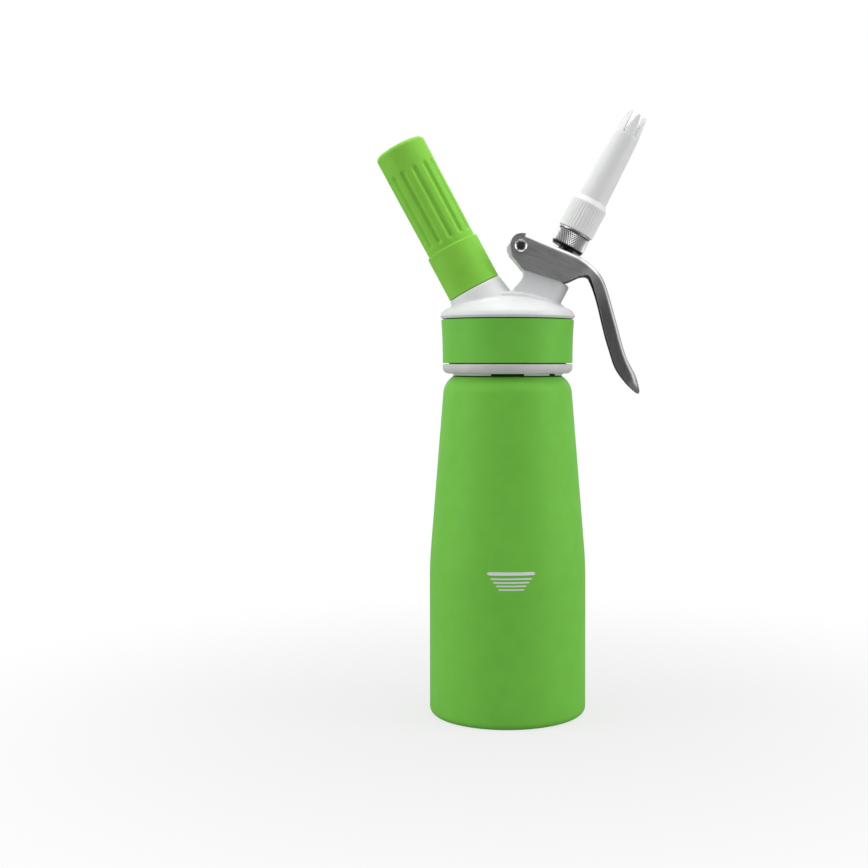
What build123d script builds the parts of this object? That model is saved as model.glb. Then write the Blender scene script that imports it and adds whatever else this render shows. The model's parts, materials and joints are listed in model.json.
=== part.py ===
from build123d import *
from math import cos, radians, sin, tan
import os

# Whipped cream dispenser: an aluminium bottle, a screw-on head with two leaning turrets, a hinged
# squeeze lever, a piston valve that carries the decorator tip, and a screw-on gas charger holder.
#
# Millimetres, +Z up. The origin is the centre of the bottle's base. +X points to the lever and the
# decorator tip, -X to the charger holder. XZ is the plane of symmetry.
# The two turret axes cross on the bottle's side of the head. Heights along them are measured from
# that crossing, upwards.

os.makedirs("parts", exist_ok=True)

# ------------------------------------------------------------------ driving dimensions
# Bottle
bottle_radius = 38.0
bottle_wall = 1.5
bottle_floor = 2.0
base_edge_radius = 3.4
straight_height = 73.0
taper_angle = 4.58
taper_blend_radius = 175.0
shoulder_z = 165.2
shoulder_slope = 28.0
shoulder_radius = 10.5
shoulder_flat = 1.0
neck_radius = 24.5
neck_wall = 2.2
neck_height = 18.3
neck_root_radius = 0.5
mouth_edge_radius = 0.8

# Head
head_gap = 0.2
thread_clearance = 0.3
core_wall = 3.7
core_lap = 1.0
lower_ring_radius = 31.6
lower_ring_height = 4.6
lower_ring_edge = 3.0
lower_ring_top_edge = 0.5
joint_line = 0.5
band_height = 20.9
band_radius = 31.6
band_flare = 0.7
band_belly = 0.2
band_belly_share = 0.6
band_edge = 0.4
rim_radius = 32.8
rim_height = 1.1
rim_undercut = 0.9
rim_flank_inset = 1.4
rim_flank_height = 2.5
dome_height = 11.4
dome_shoulder_inset = 4.1
dome_shoulder_height = 5.13
dome_flank_share = 0.7
gasket_thickness = 2.0
gasket_inner_radius = 19.8
gasket_play = 0.1
saddle_rise = 2.3
saddle_shoulder_share = 0.15
saddle_half_width = 11.5
saddle_reach = 16.0

# Turret axes
axis_tilt = 28.2
cross_offset = 1.0
cross_height = 9.3
turret_foot = 17.0

# Charger turret, port and piercing unit
charger_face = 36.25
charger_turret_radius = 13.5
turret_flare = 9.6
turret_edge = 0.8
port_shank_radius = 7.0
port_shank_length = 9.25
port_stud_radius = 10.0
port_stud_height = 13.0
port_edge = 0.8
neck_recess_play = 0.35
pin_radius = 2.6
pin_shank_length = 16.75
pin_point_radius = 1.1
pin_point_length = 4.5
pin_taper_length = 1.8
pin_bore_radius = 0.5
pin_port_drop = 0.8
pin_foot_radius = 1.6
pin_foot_length = 6.5
pin_foot_gap = 0.5
piercing_seal_thickness = 1.45
check_valve_wall = 1.7
check_valve_length = 6.0
check_valve_lip = 0.8
check_valve_band = 1.0
check_valve_clearance = 0.3
gas_passage_radius = 1.2
gas_passage_length = 12.0

# Gas charger, standard 8 g size
charger_length = 65.5
charger_radius = 8.9
charger_neck_radius = 4.4
charger_neck_length = 8.8
charger_shoulder_length = 8.0
charger_neck_edge = 0.6
charger_neck_fillet = 3.0
charger_shoulder_fillet = 6.0
charger_end_flat = 0.05
charger_steel = 1.2
charger_inner_fillet = 5.0
charger_cap = 0.6
pierced_clearance = 0.15
charger_gap = 0.05

# Charger holder
holder_gap = 0.2
charger_end_play = 0.1
charger_play = 0.4
shell_wall = 1.6
mouth_wall = 1.5
shell_end = 1.7
shell_end_edge = 3.0
shell_bore_edge = 2.0
shell_step_drop = 2.0
shell_step_length = 1.0
stud_headroom = 1.0
sleeve_end = 1.7
sleeve_crown = 0.6
sleeve_ring_radius = 13.3
sleeve_ring_height = 23.1
sleeve_edge = 0.9
sleeve_foot_edge = 0.4
grip_base_radius = 12.35
grip_end_radius = 12.7
grip_end_edge = 2.2
flute_count = 13
flute_radius = 1.65
flute_depth = 0.8
flute_near = 12.6
flute_far = 52.5
flute_turn = -81.9
flute_end_flat = 0.01

# Valve turret and seat
turret_radius = 10.2
turret_top = 42.45
seat_boss_radius = 8.0
seat_boss_height = 9.0
seat_face = 10.0
seat_bore_radius = 5.4
seat_bore_length = 5.0
piston_radius = 4.6
piston_clearance = 0.08
spring_floor = 30.0
spring_chamber_radius = 6.9

# Valve stem, spring and adapter
stem_radius = 3.8
stem_bore_radius = 2.0
stem_bore_floor = 11.2
disc_radius = 6.5
disc_thickness = 2.0
disc_edge = 0.6
disc_clearance = 0.8
valve_seal_thickness = 1.5
valve_seal_edge = 0.4
cross_hole_radius = 1.3
cross_hole_height = 12.8
piston_length = 13.0
piston_edge = 0.3
o_ring_section = 0.55
o_ring_squeeze = 0.05
groove_clearance = 1.0
o_ring_pitch = 5.5
collar_radius = 6.5
collar_height = 2.6
collar_crown = 7.0
collar_play = 0.1
collar_edge = 0.5
spring_wire = 0.55
spring_radius = 5.2
spring_turns = 6.5
adapter_bottom = 58.15
adapter_radius = 8.3
adapter_height = 9.3
adapter_edge = 0.7
adapter_top_edge = 0.2
spigot_radius = 6.9
spigot_height = 10.0
spigot_edge = 0.8
spigot_headroom = 0.5
cream_bore_radius = 2.6
stem_entry = 8.0
adapter_gasket_thickness = 1.0

# Decorator tip
tip_gap = 0.15
skirt_radius = 8.95
skirt_top = 23.9
skirt_play = 0.3
skirt_foot_edge = 0.3
skirt_top_edge = 0.6
shoulder_edge = 1.5
shoulder_top = 26.5
nozzle_base_radius = 7.4
nozzle_knee_radius = 6.25
nozzle_end_radius = 4.75
nozzle_knee = 61.5
nozzle_top = 73.5
nozzle_blend = 20.0
nozzle_end_edge = 0.3
nozzle_wall = 1.4
slot_depth = 11.1
slot_width = 3.6
slot_root_width = 0.9
slot_pairs = 3
slot_turn = 36.8

# Hinge and lever
hinge_height = 48.15
hinge_offset = 19.7
hinge_shaft_radius = 2.4
hinge_bore_play = 0.05
hinge_head_radius = 3.05
hinge_head_height = 1.4
hinge_cup_radius = 2.35
hinge_cup_depth = 1.0
hinge_head_gap = 0.1
hinge_head_edge = 0.3
hinge_screw_radius = 1.5
hinge_screw_length = 9.0
hinge_screw_play = 0.5
hinge_hex_radius = 1.25
cheek_play = 0.4
sheet = 1.5
sheet_bend = 1.0
plate_rise = 6.39
plate_slope = 22.8
plate_length = 27.7
nose_lap = 2.0
handle_half_width = 7.0
stem_hole_radius = 4.9
stem_hole_reach = 19.9
handle_end_reach = 84.5
bend_turn = 49.5

# Side outlines of the handle: its back from the plate down to the tip, and its front edge back up.
# Each point is a share of the handle's reach beyond the plate, and a height over the bend line.
handle_back = [
    (0.196, 20.278),
    (0.3263, 18.438),
    (0.56, 11.858),
    (0.8231, 4.36),
    (0.9952, 1.732),
    (1.0917, -1.196),
]
handle_end = (1.1105, -2.132)
handle_tip = (1.1088, -3.027)
handle_front = [
    (0.9974, -3.647),
    (0.8493, -2.959),
    (0.715, 0.281),
    (0.5871, 3.835),
    (0.3241, 12.114),
    (0.178, 15.721),
]

# Side outlines of the lever's nose and cheek, as X and Z from the hinge: the nose, the corner where
# the cheek meets the handle, and the cheek's lower edge
nose_front = (-4.9, 0)
nose_brow = (-3.6, 4.4)
nose_heel = (-4.1, -4.8)
cheek_corner = [(31.9, -13.9), (28.4, -14.2), (23.8, -16.4), (20.5, -17.1)]
cheek_edge = [(10.6, -14.4), (0.9, -11.4)]
handle_back_end_run = (-0.15, -1)
cheek_low_run = (-1, 0.05)
cheek_end_run = (-1, 0.35)

# Stations along the lever's bend where its cheeks narrow to the handle
taper_start = 26.0
taper_middle = 38.0
taper_end = 50.0

# Side outline of the hinge lug, as X and Z from the hinge: its boss, brow, heel and root
lug_boss_radius = 4.4
lug_boss_start = -12
lug_boss_sweep = 127
lug_brow = [(-5.6, 1.3), (-6.9, -0.6), (-5.5, -3.8)]
lug_heel = [(0.7, -11.0), (1.2, -13.2), (-0.2, -16.5), (-3.6, -20.0)]
lug_root = [(-5.0, -28.0), (10.0, -26.0), (14.0, -15.0), (6.6, -9.2)]

# Cuts run past the faces they open by this much
overrun = 1.0
long_overrun = 20.0
cut_depth = 100.0

# ------------------------------------------------------------------ places worked out from them
neck_bore_radius = neck_radius - neck_wall
mouth_z = shoulder_z + neck_height
head_z = shoulder_z + head_gap
socket_radius = neck_radius + thread_clearance
core_radius = socket_radius + core_wall
ceiling_z = mouth_z + gasket_thickness + head_gap
ring_top_z = head_z + lower_ring_height
band_z = ring_top_z + joint_line
band_top_z = band_z + band_height
rim_z = band_top_z + joint_line
cross_z = head_z + cross_height

tilt_cos = cos(radians(axis_tilt))
tilt_sin = sin(radians(axis_tilt))
crossing = (cross_offset, 0, cross_z)
valve_axis = Axis(crossing, (tilt_sin, 0, tilt_cos))
charger_axis = Axis(crossing, (-tilt_sin, 0, tilt_cos))

# Each section plane holds its axis: its x is the radius and its y is the height along the axis.
valve_section = Plane(origin=crossing, x_dir=(tilt_cos, 0, -tilt_sin), z_dir=(0, -1, 0))
charger_section = Plane(origin=crossing, x_dir=(tilt_cos, 0, tilt_sin), z_dir=(0, -1, 0))
# Each cross plane is square to its axis.
valve_cross = Plane(origin=crossing, x_dir=(tilt_cos, 0, -tilt_sin), z_dir=(tilt_sin, 0, tilt_cos))
charger_cross = Plane(origin=crossing, x_dir=(tilt_cos, 0, tilt_sin), z_dir=(-tilt_sin, 0, tilt_cos))


def in_valve_section(radius, height):
    """Row-frame X and Z of a point given by its radius and height in the valve section."""
    x = cross_offset + height * tilt_sin + radius * tilt_cos
    z = cross_z + height * tilt_cos - radius * tilt_sin
    return x, z


def turned(section, spindle, points, radii=None, mode=Mode.ADD):
    """Revolve a closed outline of (radius, height) points, each corner rounded by its radius."""
    with BuildSketch(section) as outline:
        with BuildLine():
            FilletPolyline(*points, radius=radii or [0] * len(points), close=True)
        make_face()
    revolve(outline.sketch, axis=spindle, mode=mode)


def side_section(cross, orbit, turn):
    """Section plane and axis of a line along the cross plane's normal, at a radius and a turn."""
    outwards = cross.x_dir * cos(radians(turn)) + cross.y_dir * sin(radians(turn))
    origin = cross.origin + outwards * orbit
    plane = Plane(origin=origin, x_dir=outwards, z_dir=outwards.cross(cross.z_dir))
    return plane, Axis(origin, cross.z_dir)


def bored(section, spindle, radius, low, high):
    """Cut a round hole about the spindle from one height to another."""
    corners = [(0, low), (radius, low), (radius, high), (0, high)]
    turned(section, spindle, corners, mode=Mode.SUBTRACT)


# ------------------------------------------------------------------ bottle
def bottle_outline(inset, floor, neck):
    """Half section of the bottle, moved inwards by inset, from its axis round to its mouth."""
    rise = tan(radians(taper_angle))
    slope = tan(radians(shoulder_slope))
    lean = inset / cos(radians(taper_angle))
    drop = inset / cos(radians(shoulder_slope))
    side = bottle_radius - lean
    top = shoulder_z - drop + neck_radius * slope
    corner = (side - rise * (top - straight_height)) / (1 - rise * slope)
    return [
        (0, floor),
        (bottle_radius - inset, floor),
        (bottle_radius - inset, straight_height - inset * rise / 2),
        (corner, top - corner * slope),
        (neck, top - neck * slope),
        (neck, mouth_z),
        (0, mouth_z),
    ]


# The shoulder's fillet is limited by the slope that it runs onto.
shoulder_corner, neck_corner = bottle_outline(0, 0, neck_radius)[3:5]
slope_run = (Vector(*shoulder_corner) - Vector(*neck_corner)).length - shoulder_flat
shoulder_half_turn = radians(90 - taper_angle - shoulder_slope) / 2
shoulder_round = min(shoulder_radius, slope_run / tan(shoulder_half_turn))

with BuildPart() as bottle:
    turned(
        Plane.XZ,
        Axis.Z,
        bottle_outline(0, 0, neck_radius),
        [0, base_edge_radius, taper_blend_radius, shoulder_round, neck_root_radius, mouth_edge_radius, 0],
    )
    turned(
        Plane.XZ,
        Axis.Z,
        bottle_outline(bottle_wall, bottle_floor, neck_bore_radius),
        [
            0,
            base_edge_radius - bottle_wall,
            taper_blend_radius - bottle_wall,
            shoulder_round - bottle_wall,
            neck_root_radius + bottle_wall,
            0,
            0,
        ],
        mode=Mode.SUBTRACT,
    )
bottle.part.label = "bottle"
export_step(bottle.part, "parts/bottle.step")

# ------------------------------------------------------------------ head
dome_shoulder_radius = rim_radius - dome_shoulder_inset
dome_shoulder_z = rim_z + dome_shoulder_height
dome_top_z = rim_z + dome_height
port_foot = charger_face - port_shank_length
check_foot = port_foot - pin_foot_length
check_chamber_radius = pin_foot_radius + check_valve_wall + check_valve_clearance
hinge_x, hinge_z = in_valve_section(-hinge_offset, hinge_height)
# The hinge plane is upright; its origin is the hinge and its x and y are the row's X and Z.
hinge_plane = Plane(origin=(hinge_x, 0, hinge_z), x_dir=(1, 0, 0), z_dir=(0, -1, 0))


def dome_outline(rise):
    """Half outline of the dome and its rim, with its top lifted by rise."""
    top = dome_top_z + rise
    shoulder = (dome_shoulder_radius, dome_shoulder_z + saddle_shoulder_share * rise)
    flank_drop = dome_flank_share**2 * (top - shoulder[1])
    flank = (dome_flank_share * dome_shoulder_radius, top - flank_drop)
    widest = (rim_radius, rim_z + rim_height)
    rim_flank = (rim_radius - rim_flank_inset, rim_z + rim_height + rim_flank_height)
    ThreePointArc((0, top), flank, shoulder)
    ThreePointArc(shoulder, rim_flank, widest)
    Polyline(widest, (rim_radius - rim_undercut, rim_z), (0, rim_z), (0, top))


# raised saddle between the turrets
with BuildPart() as saddle:
    with BuildSketch(Plane.XZ):
        with BuildLine():
            dome_outline(saddle_rise)
        make_face()
    revolve(axis=Axis.Z)
    with BuildSketch(Plane.XY.offset(rim_z)):
        SlotCenterToCenter(2 * saddle_reach, 2 * saddle_half_width)
    extrude(amount=2 * dome_height, mode=Mode.INTERSECT)

with BuildPart() as head_body:
    with BuildSketch(Plane.XZ):
        with BuildLine():
            dome_outline(0)
        make_face()
    revolve(axis=Axis.Z)
    add(saddle.part)
    # core that the bottle's neck screws into
    core_top = rim_z + core_lap
    turned(
        Plane.XZ,
        Axis.Z,
        [(0, head_z), (core_radius, head_z), (core_radius, core_top), (0, core_top)],
    )
    # charger turret, wider towards the dome
    flare = (charger_face - turret_foot) * tan(radians(turret_flare))
    turned(
        charger_section,
        charger_axis,
        [
            (0, turret_foot),
            (charger_turret_radius + flare, turret_foot),
            (charger_turret_radius, charger_face),
            (0, charger_face),
        ],
        [0, 0, turret_edge, 0],
    )
    # valve turret
    turned(
        valve_section,
        valve_axis,
        [(0, turret_foot), (turret_radius, turret_foot), (turret_radius, turret_top), (0, turret_top)],
        [0, 0, turret_edge, 0],
    )
    # lug that carries the hinge, with a heel behind the lever's nose
    with BuildSketch(hinge_plane):
        with BuildLine():
            boss = CenterArc((0, 0), lug_boss_radius, lug_boss_start, lug_boss_sweep)
            heel = Spline(*lug_heel)
            Polyline(boss @ 1, *lug_brow, heel @ 0)
            Polyline(heel @ 1, *lug_root, boss @ 0)
        make_face()
    extrude(amount=turret_radius, both=True)
    # socket for the bottle's neck, and the seat boss under its ceiling
    turned(
        Plane.XZ,
        Axis.Z,
        [(0, head_z), (socket_radius, head_z), (socket_radius, ceiling_z), (0, ceiling_z)],
        mode=Mode.SUBTRACT,
    )
    boss_top = seat_face + seat_boss_height
    turned(
        valve_section,
        valve_axis,
        [(0, seat_face), (seat_boss_radius, seat_face), (seat_boss_radius, boss_top), (0, boss_top)],
    )
    # stepped bore of the valve, with room under the ceiling for its disc
    bored(valve_section, valve_axis, disc_radius + disc_clearance, 0, seat_face)
    bored(valve_section, valve_axis, seat_bore_radius, seat_face - overrun, seat_face + seat_bore_length)
    bored(valve_section, valve_axis, piston_radius + piston_clearance, seat_face, spring_floor)
    bored(valve_section, valve_axis, spring_chamber_radius, spring_floor, turret_top + long_overrun)
    # stepped bore of the charger's port
    bored(charger_section, charger_axis, gas_passage_radius, check_foot - gas_passage_length, check_foot)
    bored(charger_section, charger_axis, check_chamber_radius, check_foot, port_foot)
    bored(charger_section, charger_axis, port_shank_radius, port_foot, charger_face + overrun)
    # hinge bore
    with BuildSketch(hinge_plane):
        Circle(hinge_shaft_radius + hinge_bore_play)
    extrude(amount=2 * turret_radius, both=True, mode=Mode.SUBTRACT)
head_body.part.label = "head_body"
export_step(head_body.part, "parts/head_body.step")

with BuildPart() as lower_ring:
    turned(
        Plane.XZ,
        Axis.Z,
        [
            (core_radius, head_z),
            (lower_ring_radius, head_z),
            (lower_ring_radius, ring_top_z),
            (core_radius, ring_top_z),
        ],
        [0, lower_ring_edge, lower_ring_top_edge, 0],
    )
lower_ring.part.label = "lower_ring"
export_step(lower_ring.part, "parts/lower_ring.step")

with BuildPart() as grip_band:
    with BuildSketch(Plane.XZ) as band_section:
        with BuildLine():
            band_foot = (band_radius, band_z)
            band_head = (band_radius + band_flare, band_top_z)
            belly = (band_radius + band_belly, band_z + band_belly_share * band_height)
            ThreePointArc(band_foot, belly, band_head)
            Polyline(band_head, (core_radius, band_top_z), (core_radius, band_z), band_foot)
        make_face()
        fillet(band_section.vertices().sort_by(Axis.X)[-2:], band_edge)
    revolve(axis=Axis.Z)
grip_band.part.label = "grip_band"
export_step(grip_band.part, "parts/grip_band.step")

with BuildPart() as head_gasket:
    gasket_radius = socket_radius - gasket_play
    turned(
        Plane.XZ,
        Axis.Z,
        [
            (gasket_inner_radius, mouth_z + head_gap),
            (gasket_radius, mouth_z + head_gap),
            (gasket_radius, ceiling_z),
            (gasket_inner_radius, ceiling_z),
        ],
    )
head_gasket.part.label = "head_gasket"
export_step(head_gasket.part, "parts/head_gasket.step")

# ------------------------------------------------------------------ charger port and piercing unit
stud_top = charger_face + port_stud_height
pin_shoulder = port_foot + pin_shank_length
neck_seat = pin_shoulder + piercing_seal_thickness
neck_recess_radius = charger_neck_radius + neck_recess_play

with BuildPart() as charger_port:
    turned(
        charger_section,
        charger_axis,
        [
            (pin_radius, port_foot),
            (port_shank_radius, port_foot),
            (port_shank_radius, charger_face),
            (port_stud_radius, charger_face),
            (port_stud_radius, stud_top),
            (neck_recess_radius, stud_top),
            (neck_recess_radius, pin_shoulder),
            (pin_radius, pin_shoulder),
        ],
        [0, 0, 0, 0, port_edge, port_edge, 0, 0],
    )
charger_port.part.label = "charger_port"
export_step(charger_port.part, "parts/charger_port.step")

with BuildPart() as piercing_pin:
    point_base = pin_shoulder + pin_point_length - pin_taper_length
    turned(
        charger_section,
        charger_axis,
        [
            (0, check_foot + pin_foot_gap),
            (pin_foot_radius, check_foot + pin_foot_gap),
            (pin_foot_radius, port_foot),
            (pin_radius, port_foot),
            (pin_radius, pin_shoulder),
            (pin_point_radius, pin_shoulder),
            (pin_point_radius, point_base),
            (0, pin_shoulder + pin_point_length),
        ],
    )
    bored(charger_section, charger_axis, pin_bore_radius, check_foot, point_base)
    with BuildSketch(charger_section):
        with Locations((0, point_base - pin_port_drop)):
            Circle(pin_bore_radius)
    extrude(amount=2 * pin_radius, mode=Mode.SUBTRACT)
piercing_pin.part.label = "piercing_pin"
export_step(piercing_pin.part, "parts/piercing_pin.step")

with BuildPart() as piercing_seal:
    turned(
        charger_section,
        charger_axis,
        [
            (pin_point_radius, pin_shoulder),
            (neck_recess_radius, pin_shoulder),
            (neck_recess_radius, neck_seat),
            (pin_point_radius, neck_seat),
        ],
    )
piercing_seal.part.label = "piercing_seal"
export_step(piercing_seal.part, "parts/piercing_seal.step")

with BuildPart() as check_valve:
    turned(
        charger_section,
        charger_axis,
        [
            (pin_foot_radius, port_foot - check_valve_length),
            (pin_foot_radius + check_valve_lip, port_foot - check_valve_length),
            (pin_foot_radius + check_valve_wall, port_foot - check_valve_band),
            (pin_foot_radius + check_valve_wall, port_foot),
            (pin_foot_radius, port_foot),
        ],
    )
check_valve.part.label = "check_valve"
export_step(check_valve.part, "parts/check_valve.step")

# ------------------------------------------------------------------ gas charger and its holder
charger_foot = neck_seat + charger_gap
charger_end = charger_foot + charger_length

with BuildPart() as gas_charger:
    neck_end = charger_foot + charger_neck_length
    body_start = neck_end + charger_shoulder_length
    dome_start = charger_end - charger_radius
    turned(
        charger_section,
        charger_axis,
        [
            (0, charger_foot),
            (charger_neck_radius, charger_foot),
            (charger_neck_radius, neck_end),
            (charger_radius, body_start),
            (charger_radius, charger_end),
            (0, charger_end),
        ],
        [
            0,
            charger_neck_edge,
            charger_neck_fillet,
            charger_shoulder_fillet,
            charger_radius - charger_end_flat,
            0,
        ],
    )
    turned(
        charger_section,
        charger_axis,
        [
            (0, charger_foot + charger_cap),
            (charger_neck_radius - charger_steel, charger_foot + charger_cap),
            (charger_neck_radius - charger_steel, neck_end),
            (charger_radius - charger_steel, body_start),
            (charger_radius - charger_steel, charger_end - charger_steel),
            (0, charger_end - charger_steel),
        ],
        [
            0,
            0,
            charger_neck_fillet,
            charger_inner_fillet,
            charger_radius - charger_steel - charger_end_flat,
            0,
        ],
        mode=Mode.SUBTRACT,
    )
    bored(
        charger_section,
        charger_axis,
        pin_point_radius + pierced_clearance,
        charger_foot - overrun,
        charger_foot + charger_cap + overrun,
    )
gas_charger.part.label = "gas_charger"
export_step(gas_charger.part, "parts/gas_charger.step")

holder_foot = charger_face + holder_gap
holder_top = charger_end + charger_end_play + shell_end + sleeve_end
shell_bore_radius = charger_radius + charger_play
shell_radius = shell_bore_radius + shell_wall
mouth_bore_radius = port_stud_radius + thread_clearance
mouth_radius = mouth_bore_radius + mouth_wall
mouth_top = stud_top + stud_headroom
sleeve_step = charger_face + sleeve_ring_height
shell_step_top = sleeve_step - shell_step_drop
shell_step_foot = shell_step_top - shell_step_length
shell_top = holder_top - sleeve_end

with BuildPart() as holder_shell:
    turned(
        charger_section,
        charger_axis,
        [
            (0, holder_foot),
            (mouth_radius, holder_foot),
            (mouth_radius, shell_step_foot),
            (shell_radius, shell_step_top),
            (shell_radius, shell_top),
            (0, shell_top),
        ],
        [0, 0, 0, 0, shell_end_edge, 0],
    )
    bored(charger_section, charger_axis, mouth_bore_radius, holder_foot - overrun, mouth_top)
    turned(
        charger_section,
        charger_axis,
        [
            (0, holder_foot),
            (shell_bore_radius, holder_foot),
            (shell_bore_radius, shell_top - shell_end),
            (0, shell_top - shell_end),
        ],
        [0, 0, shell_bore_edge, 0],
        mode=Mode.SUBTRACT,
    )
holder_shell.part.label = "holder_shell"
export_step(holder_shell.part, "parts/holder_shell.step")

with BuildPart() as holder_sleeve:
    turned(
        charger_section,
        charger_axis,
        [
            (0, holder_foot),
            (sleeve_ring_radius, holder_foot),
            (sleeve_ring_radius, sleeve_step),
            (grip_base_radius, sleeve_step),
            (grip_end_radius, holder_top - sleeve_crown),
            (0, holder_top),
        ],
        [0, sleeve_foot_edge, sleeve_edge, 0, grip_end_edge, 0],
    )
    turned(
        charger_section,
        charger_axis,
        [
            (0, holder_foot - overrun),
            (mouth_radius, holder_foot - overrun),
            (mouth_radius, shell_step_foot),
            (shell_radius, shell_step_top),
            (shell_radius, shell_top),
            (0, shell_top),
        ],
        [0, 0, 0, 0, shell_end_edge, 0],
        mode=Mode.SUBTRACT,
    )
    # round-ended flutes along the grip
    flute_low = holder_top - flute_far
    flute_high = holder_top - flute_near
    flute_orbit = grip_base_radius - flute_depth + flute_radius
    for flute in range(flute_count):
        flute_section, flute_axis = side_section(
            charger_cross, flute_orbit, flute_turn + flute * 360 / flute_count
        )
        turned(
            flute_section,
            flute_axis,
            [(0, flute_low), (flute_radius, flute_low), (flute_radius, flute_high), (0, flute_high)],
            [0, flute_radius - flute_end_flat, flute_radius - flute_end_flat, 0],
            mode=Mode.SUBTRACT,
        )
holder_sleeve.part.label = "holder_sleeve"
export_step(holder_sleeve.part, "parts/holder_sleeve.step")

# ------------------------------------------------------------------ valve
disc_foot = seat_face - valve_seal_thickness - disc_thickness
piston_low = seat_face + seat_bore_length
piston_high = piston_low + piston_length
piston_middle = (piston_low + piston_high) / 2
o_ring_heights = [piston_middle - o_ring_pitch / 2, piston_middle + o_ring_pitch / 2]
# where the underside of the lever's plate meets the valve axis at rest
plate_lean = axis_tilt - plate_slope
plate_under = plate_rise - sheet
push_height = hinge_height + plate_under / cos(radians(plate_lean)) + hinge_offset * tan(radians(plate_lean))
collar_top = push_height - collar_play
crown_drop = tan(radians(collar_crown))
collar_bottom = collar_top - collar_radius * crown_drop - collar_height
adapter_top = adapter_bottom + adapter_height
stem_top = adapter_bottom + stem_entry

with BuildPart() as valve_stem:
    turned(
        valve_section,
        valve_axis,
        [
            (0, disc_foot),
            (disc_radius, disc_foot),
            (disc_radius, disc_foot + disc_thickness),
            (stem_radius, disc_foot + disc_thickness),
            (stem_radius, piston_low),
            (piston_radius, piston_low),
            (piston_radius, piston_high),
            (stem_radius, piston_high),
            (stem_radius, stem_top),
            (0, stem_top),
        ],
        [0, disc_edge, 0, 0, 0, piston_edge, piston_edge, 0, 0, 0],
    )
    bored(valve_section, valve_axis, stem_bore_radius, stem_bore_floor, stem_top + overrun)
    # cream inlet, straight across the stem
    with BuildSketch(valve_section):
        with Locations((0, cross_hole_height)):
            Circle(cross_hole_radius)
    extrude(amount=2 * stem_radius, both=True, mode=Mode.SUBTRACT)
    # grooves for the O-rings
    groove_radius = piston_radius - 2 * o_ring_section + o_ring_squeeze
    for height in o_ring_heights:
        turned(
            valve_section,
            valve_axis,
            [
                (groove_radius, height - o_ring_section),
                (piston_radius + groove_clearance, height - o_ring_section),
                (piston_radius + groove_clearance, height + o_ring_section),
                (groove_radius, height + o_ring_section),
            ],
            mode=Mode.SUBTRACT,
        )
valve_stem.part.label = "valve_stem"
export_step(valve_stem.part, "parts/valve_stem.step")

with BuildPart() as valve_seal:
    turned(
        valve_section,
        valve_axis,
        [
            (stem_radius, seat_face - valve_seal_thickness),
            (disc_radius, seat_face - valve_seal_thickness),
            (disc_radius, seat_face),
            (stem_radius, seat_face),
        ],
        [0, 0, valve_seal_edge, 0],
    )
valve_seal.part.label = "valve_seal"
export_step(valve_seal.part, "parts/valve_seal.step")

with BuildPart() as stem_o_rings:
    ring_radius = groove_radius + o_ring_section
    for height in o_ring_heights:
        with BuildSketch(valve_section):
            with Locations((ring_radius, height)):
                Circle(o_ring_section)
        revolve(axis=valve_axis)
stem_o_rings.part.label = "stem_o_rings"
export_step(stem_o_rings.part, "parts/stem_o_rings.step")

with BuildPart() as stem_collar:
    turned(
        valve_section,
        valve_axis,
        [
            (stem_radius, collar_bottom),
            (collar_radius, collar_bottom),
            (collar_radius, collar_top - collar_radius * crown_drop),
            (stem_radius, collar_top - stem_radius * crown_drop),
        ],
        [0, collar_edge, 0, 0],
    )
stem_collar.part.label = "stem_collar"
export_step(stem_collar.part, "parts/stem_collar.step")

with BuildPart() as valve_spring:
    spring_foot = spring_floor + spring_wire
    spring_length = collar_bottom - spring_wire - spring_foot
    foot_origin = valve_cross.origin + valve_cross.z_dir * spring_foot
    with BuildLine():
        coil = Helix(
            spring_length / spring_turns,
            spring_length,
            spring_radius,
            center=foot_origin,
            direction=valve_cross.z_dir,
        )
    with BuildSketch(Plane(origin=coil @ 0, z_dir=coil % 0)):
        Circle(spring_wire)
    sweep(path=coil, is_frenet=True)
valve_spring.part.label = "valve_spring"
export_step(valve_spring.part, "parts/valve_spring.step")

with BuildPart() as tip_adapter:
    turned(
        valve_section,
        valve_axis,
        [
            (stem_radius, adapter_bottom),
            (adapter_radius, adapter_bottom),
            (adapter_radius, adapter_top),
            (spigot_radius, adapter_top),
            (spigot_radius, adapter_top + spigot_height),
            (cream_bore_radius, adapter_top + spigot_height),
            (cream_bore_radius, stem_top + adapter_gasket_thickness),
            (stem_radius, stem_top + adapter_gasket_thickness),
        ],
        [0, adapter_edge, adapter_top_edge, 0, spigot_edge, 0, 0, 0],
    )
tip_adapter.part.label = "tip_adapter"
export_step(tip_adapter.part, "parts/tip_adapter.step")

with BuildPart() as adapter_gasket:
    turned(
        valve_section,
        valve_axis,
        [
            (stem_bore_radius, stem_top),
            (stem_radius, stem_top),
            (stem_radius, stem_top + adapter_gasket_thickness),
            (stem_bore_radius, stem_top + adapter_gasket_thickness),
        ],
    )
adapter_gasket.part.label = "adapter_gasket"
export_step(adapter_gasket.part, "parts/adapter_gasket.step")

# ------------------------------------------------------------------ decorator tip
skirt_foot = adapter_top + tip_gap
skirt_bore_radius = spigot_radius + skirt_play
skirt_bore_top = adapter_top + spigot_height + spigot_headroom
nozzle_end = adapter_bottom + nozzle_top

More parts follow.
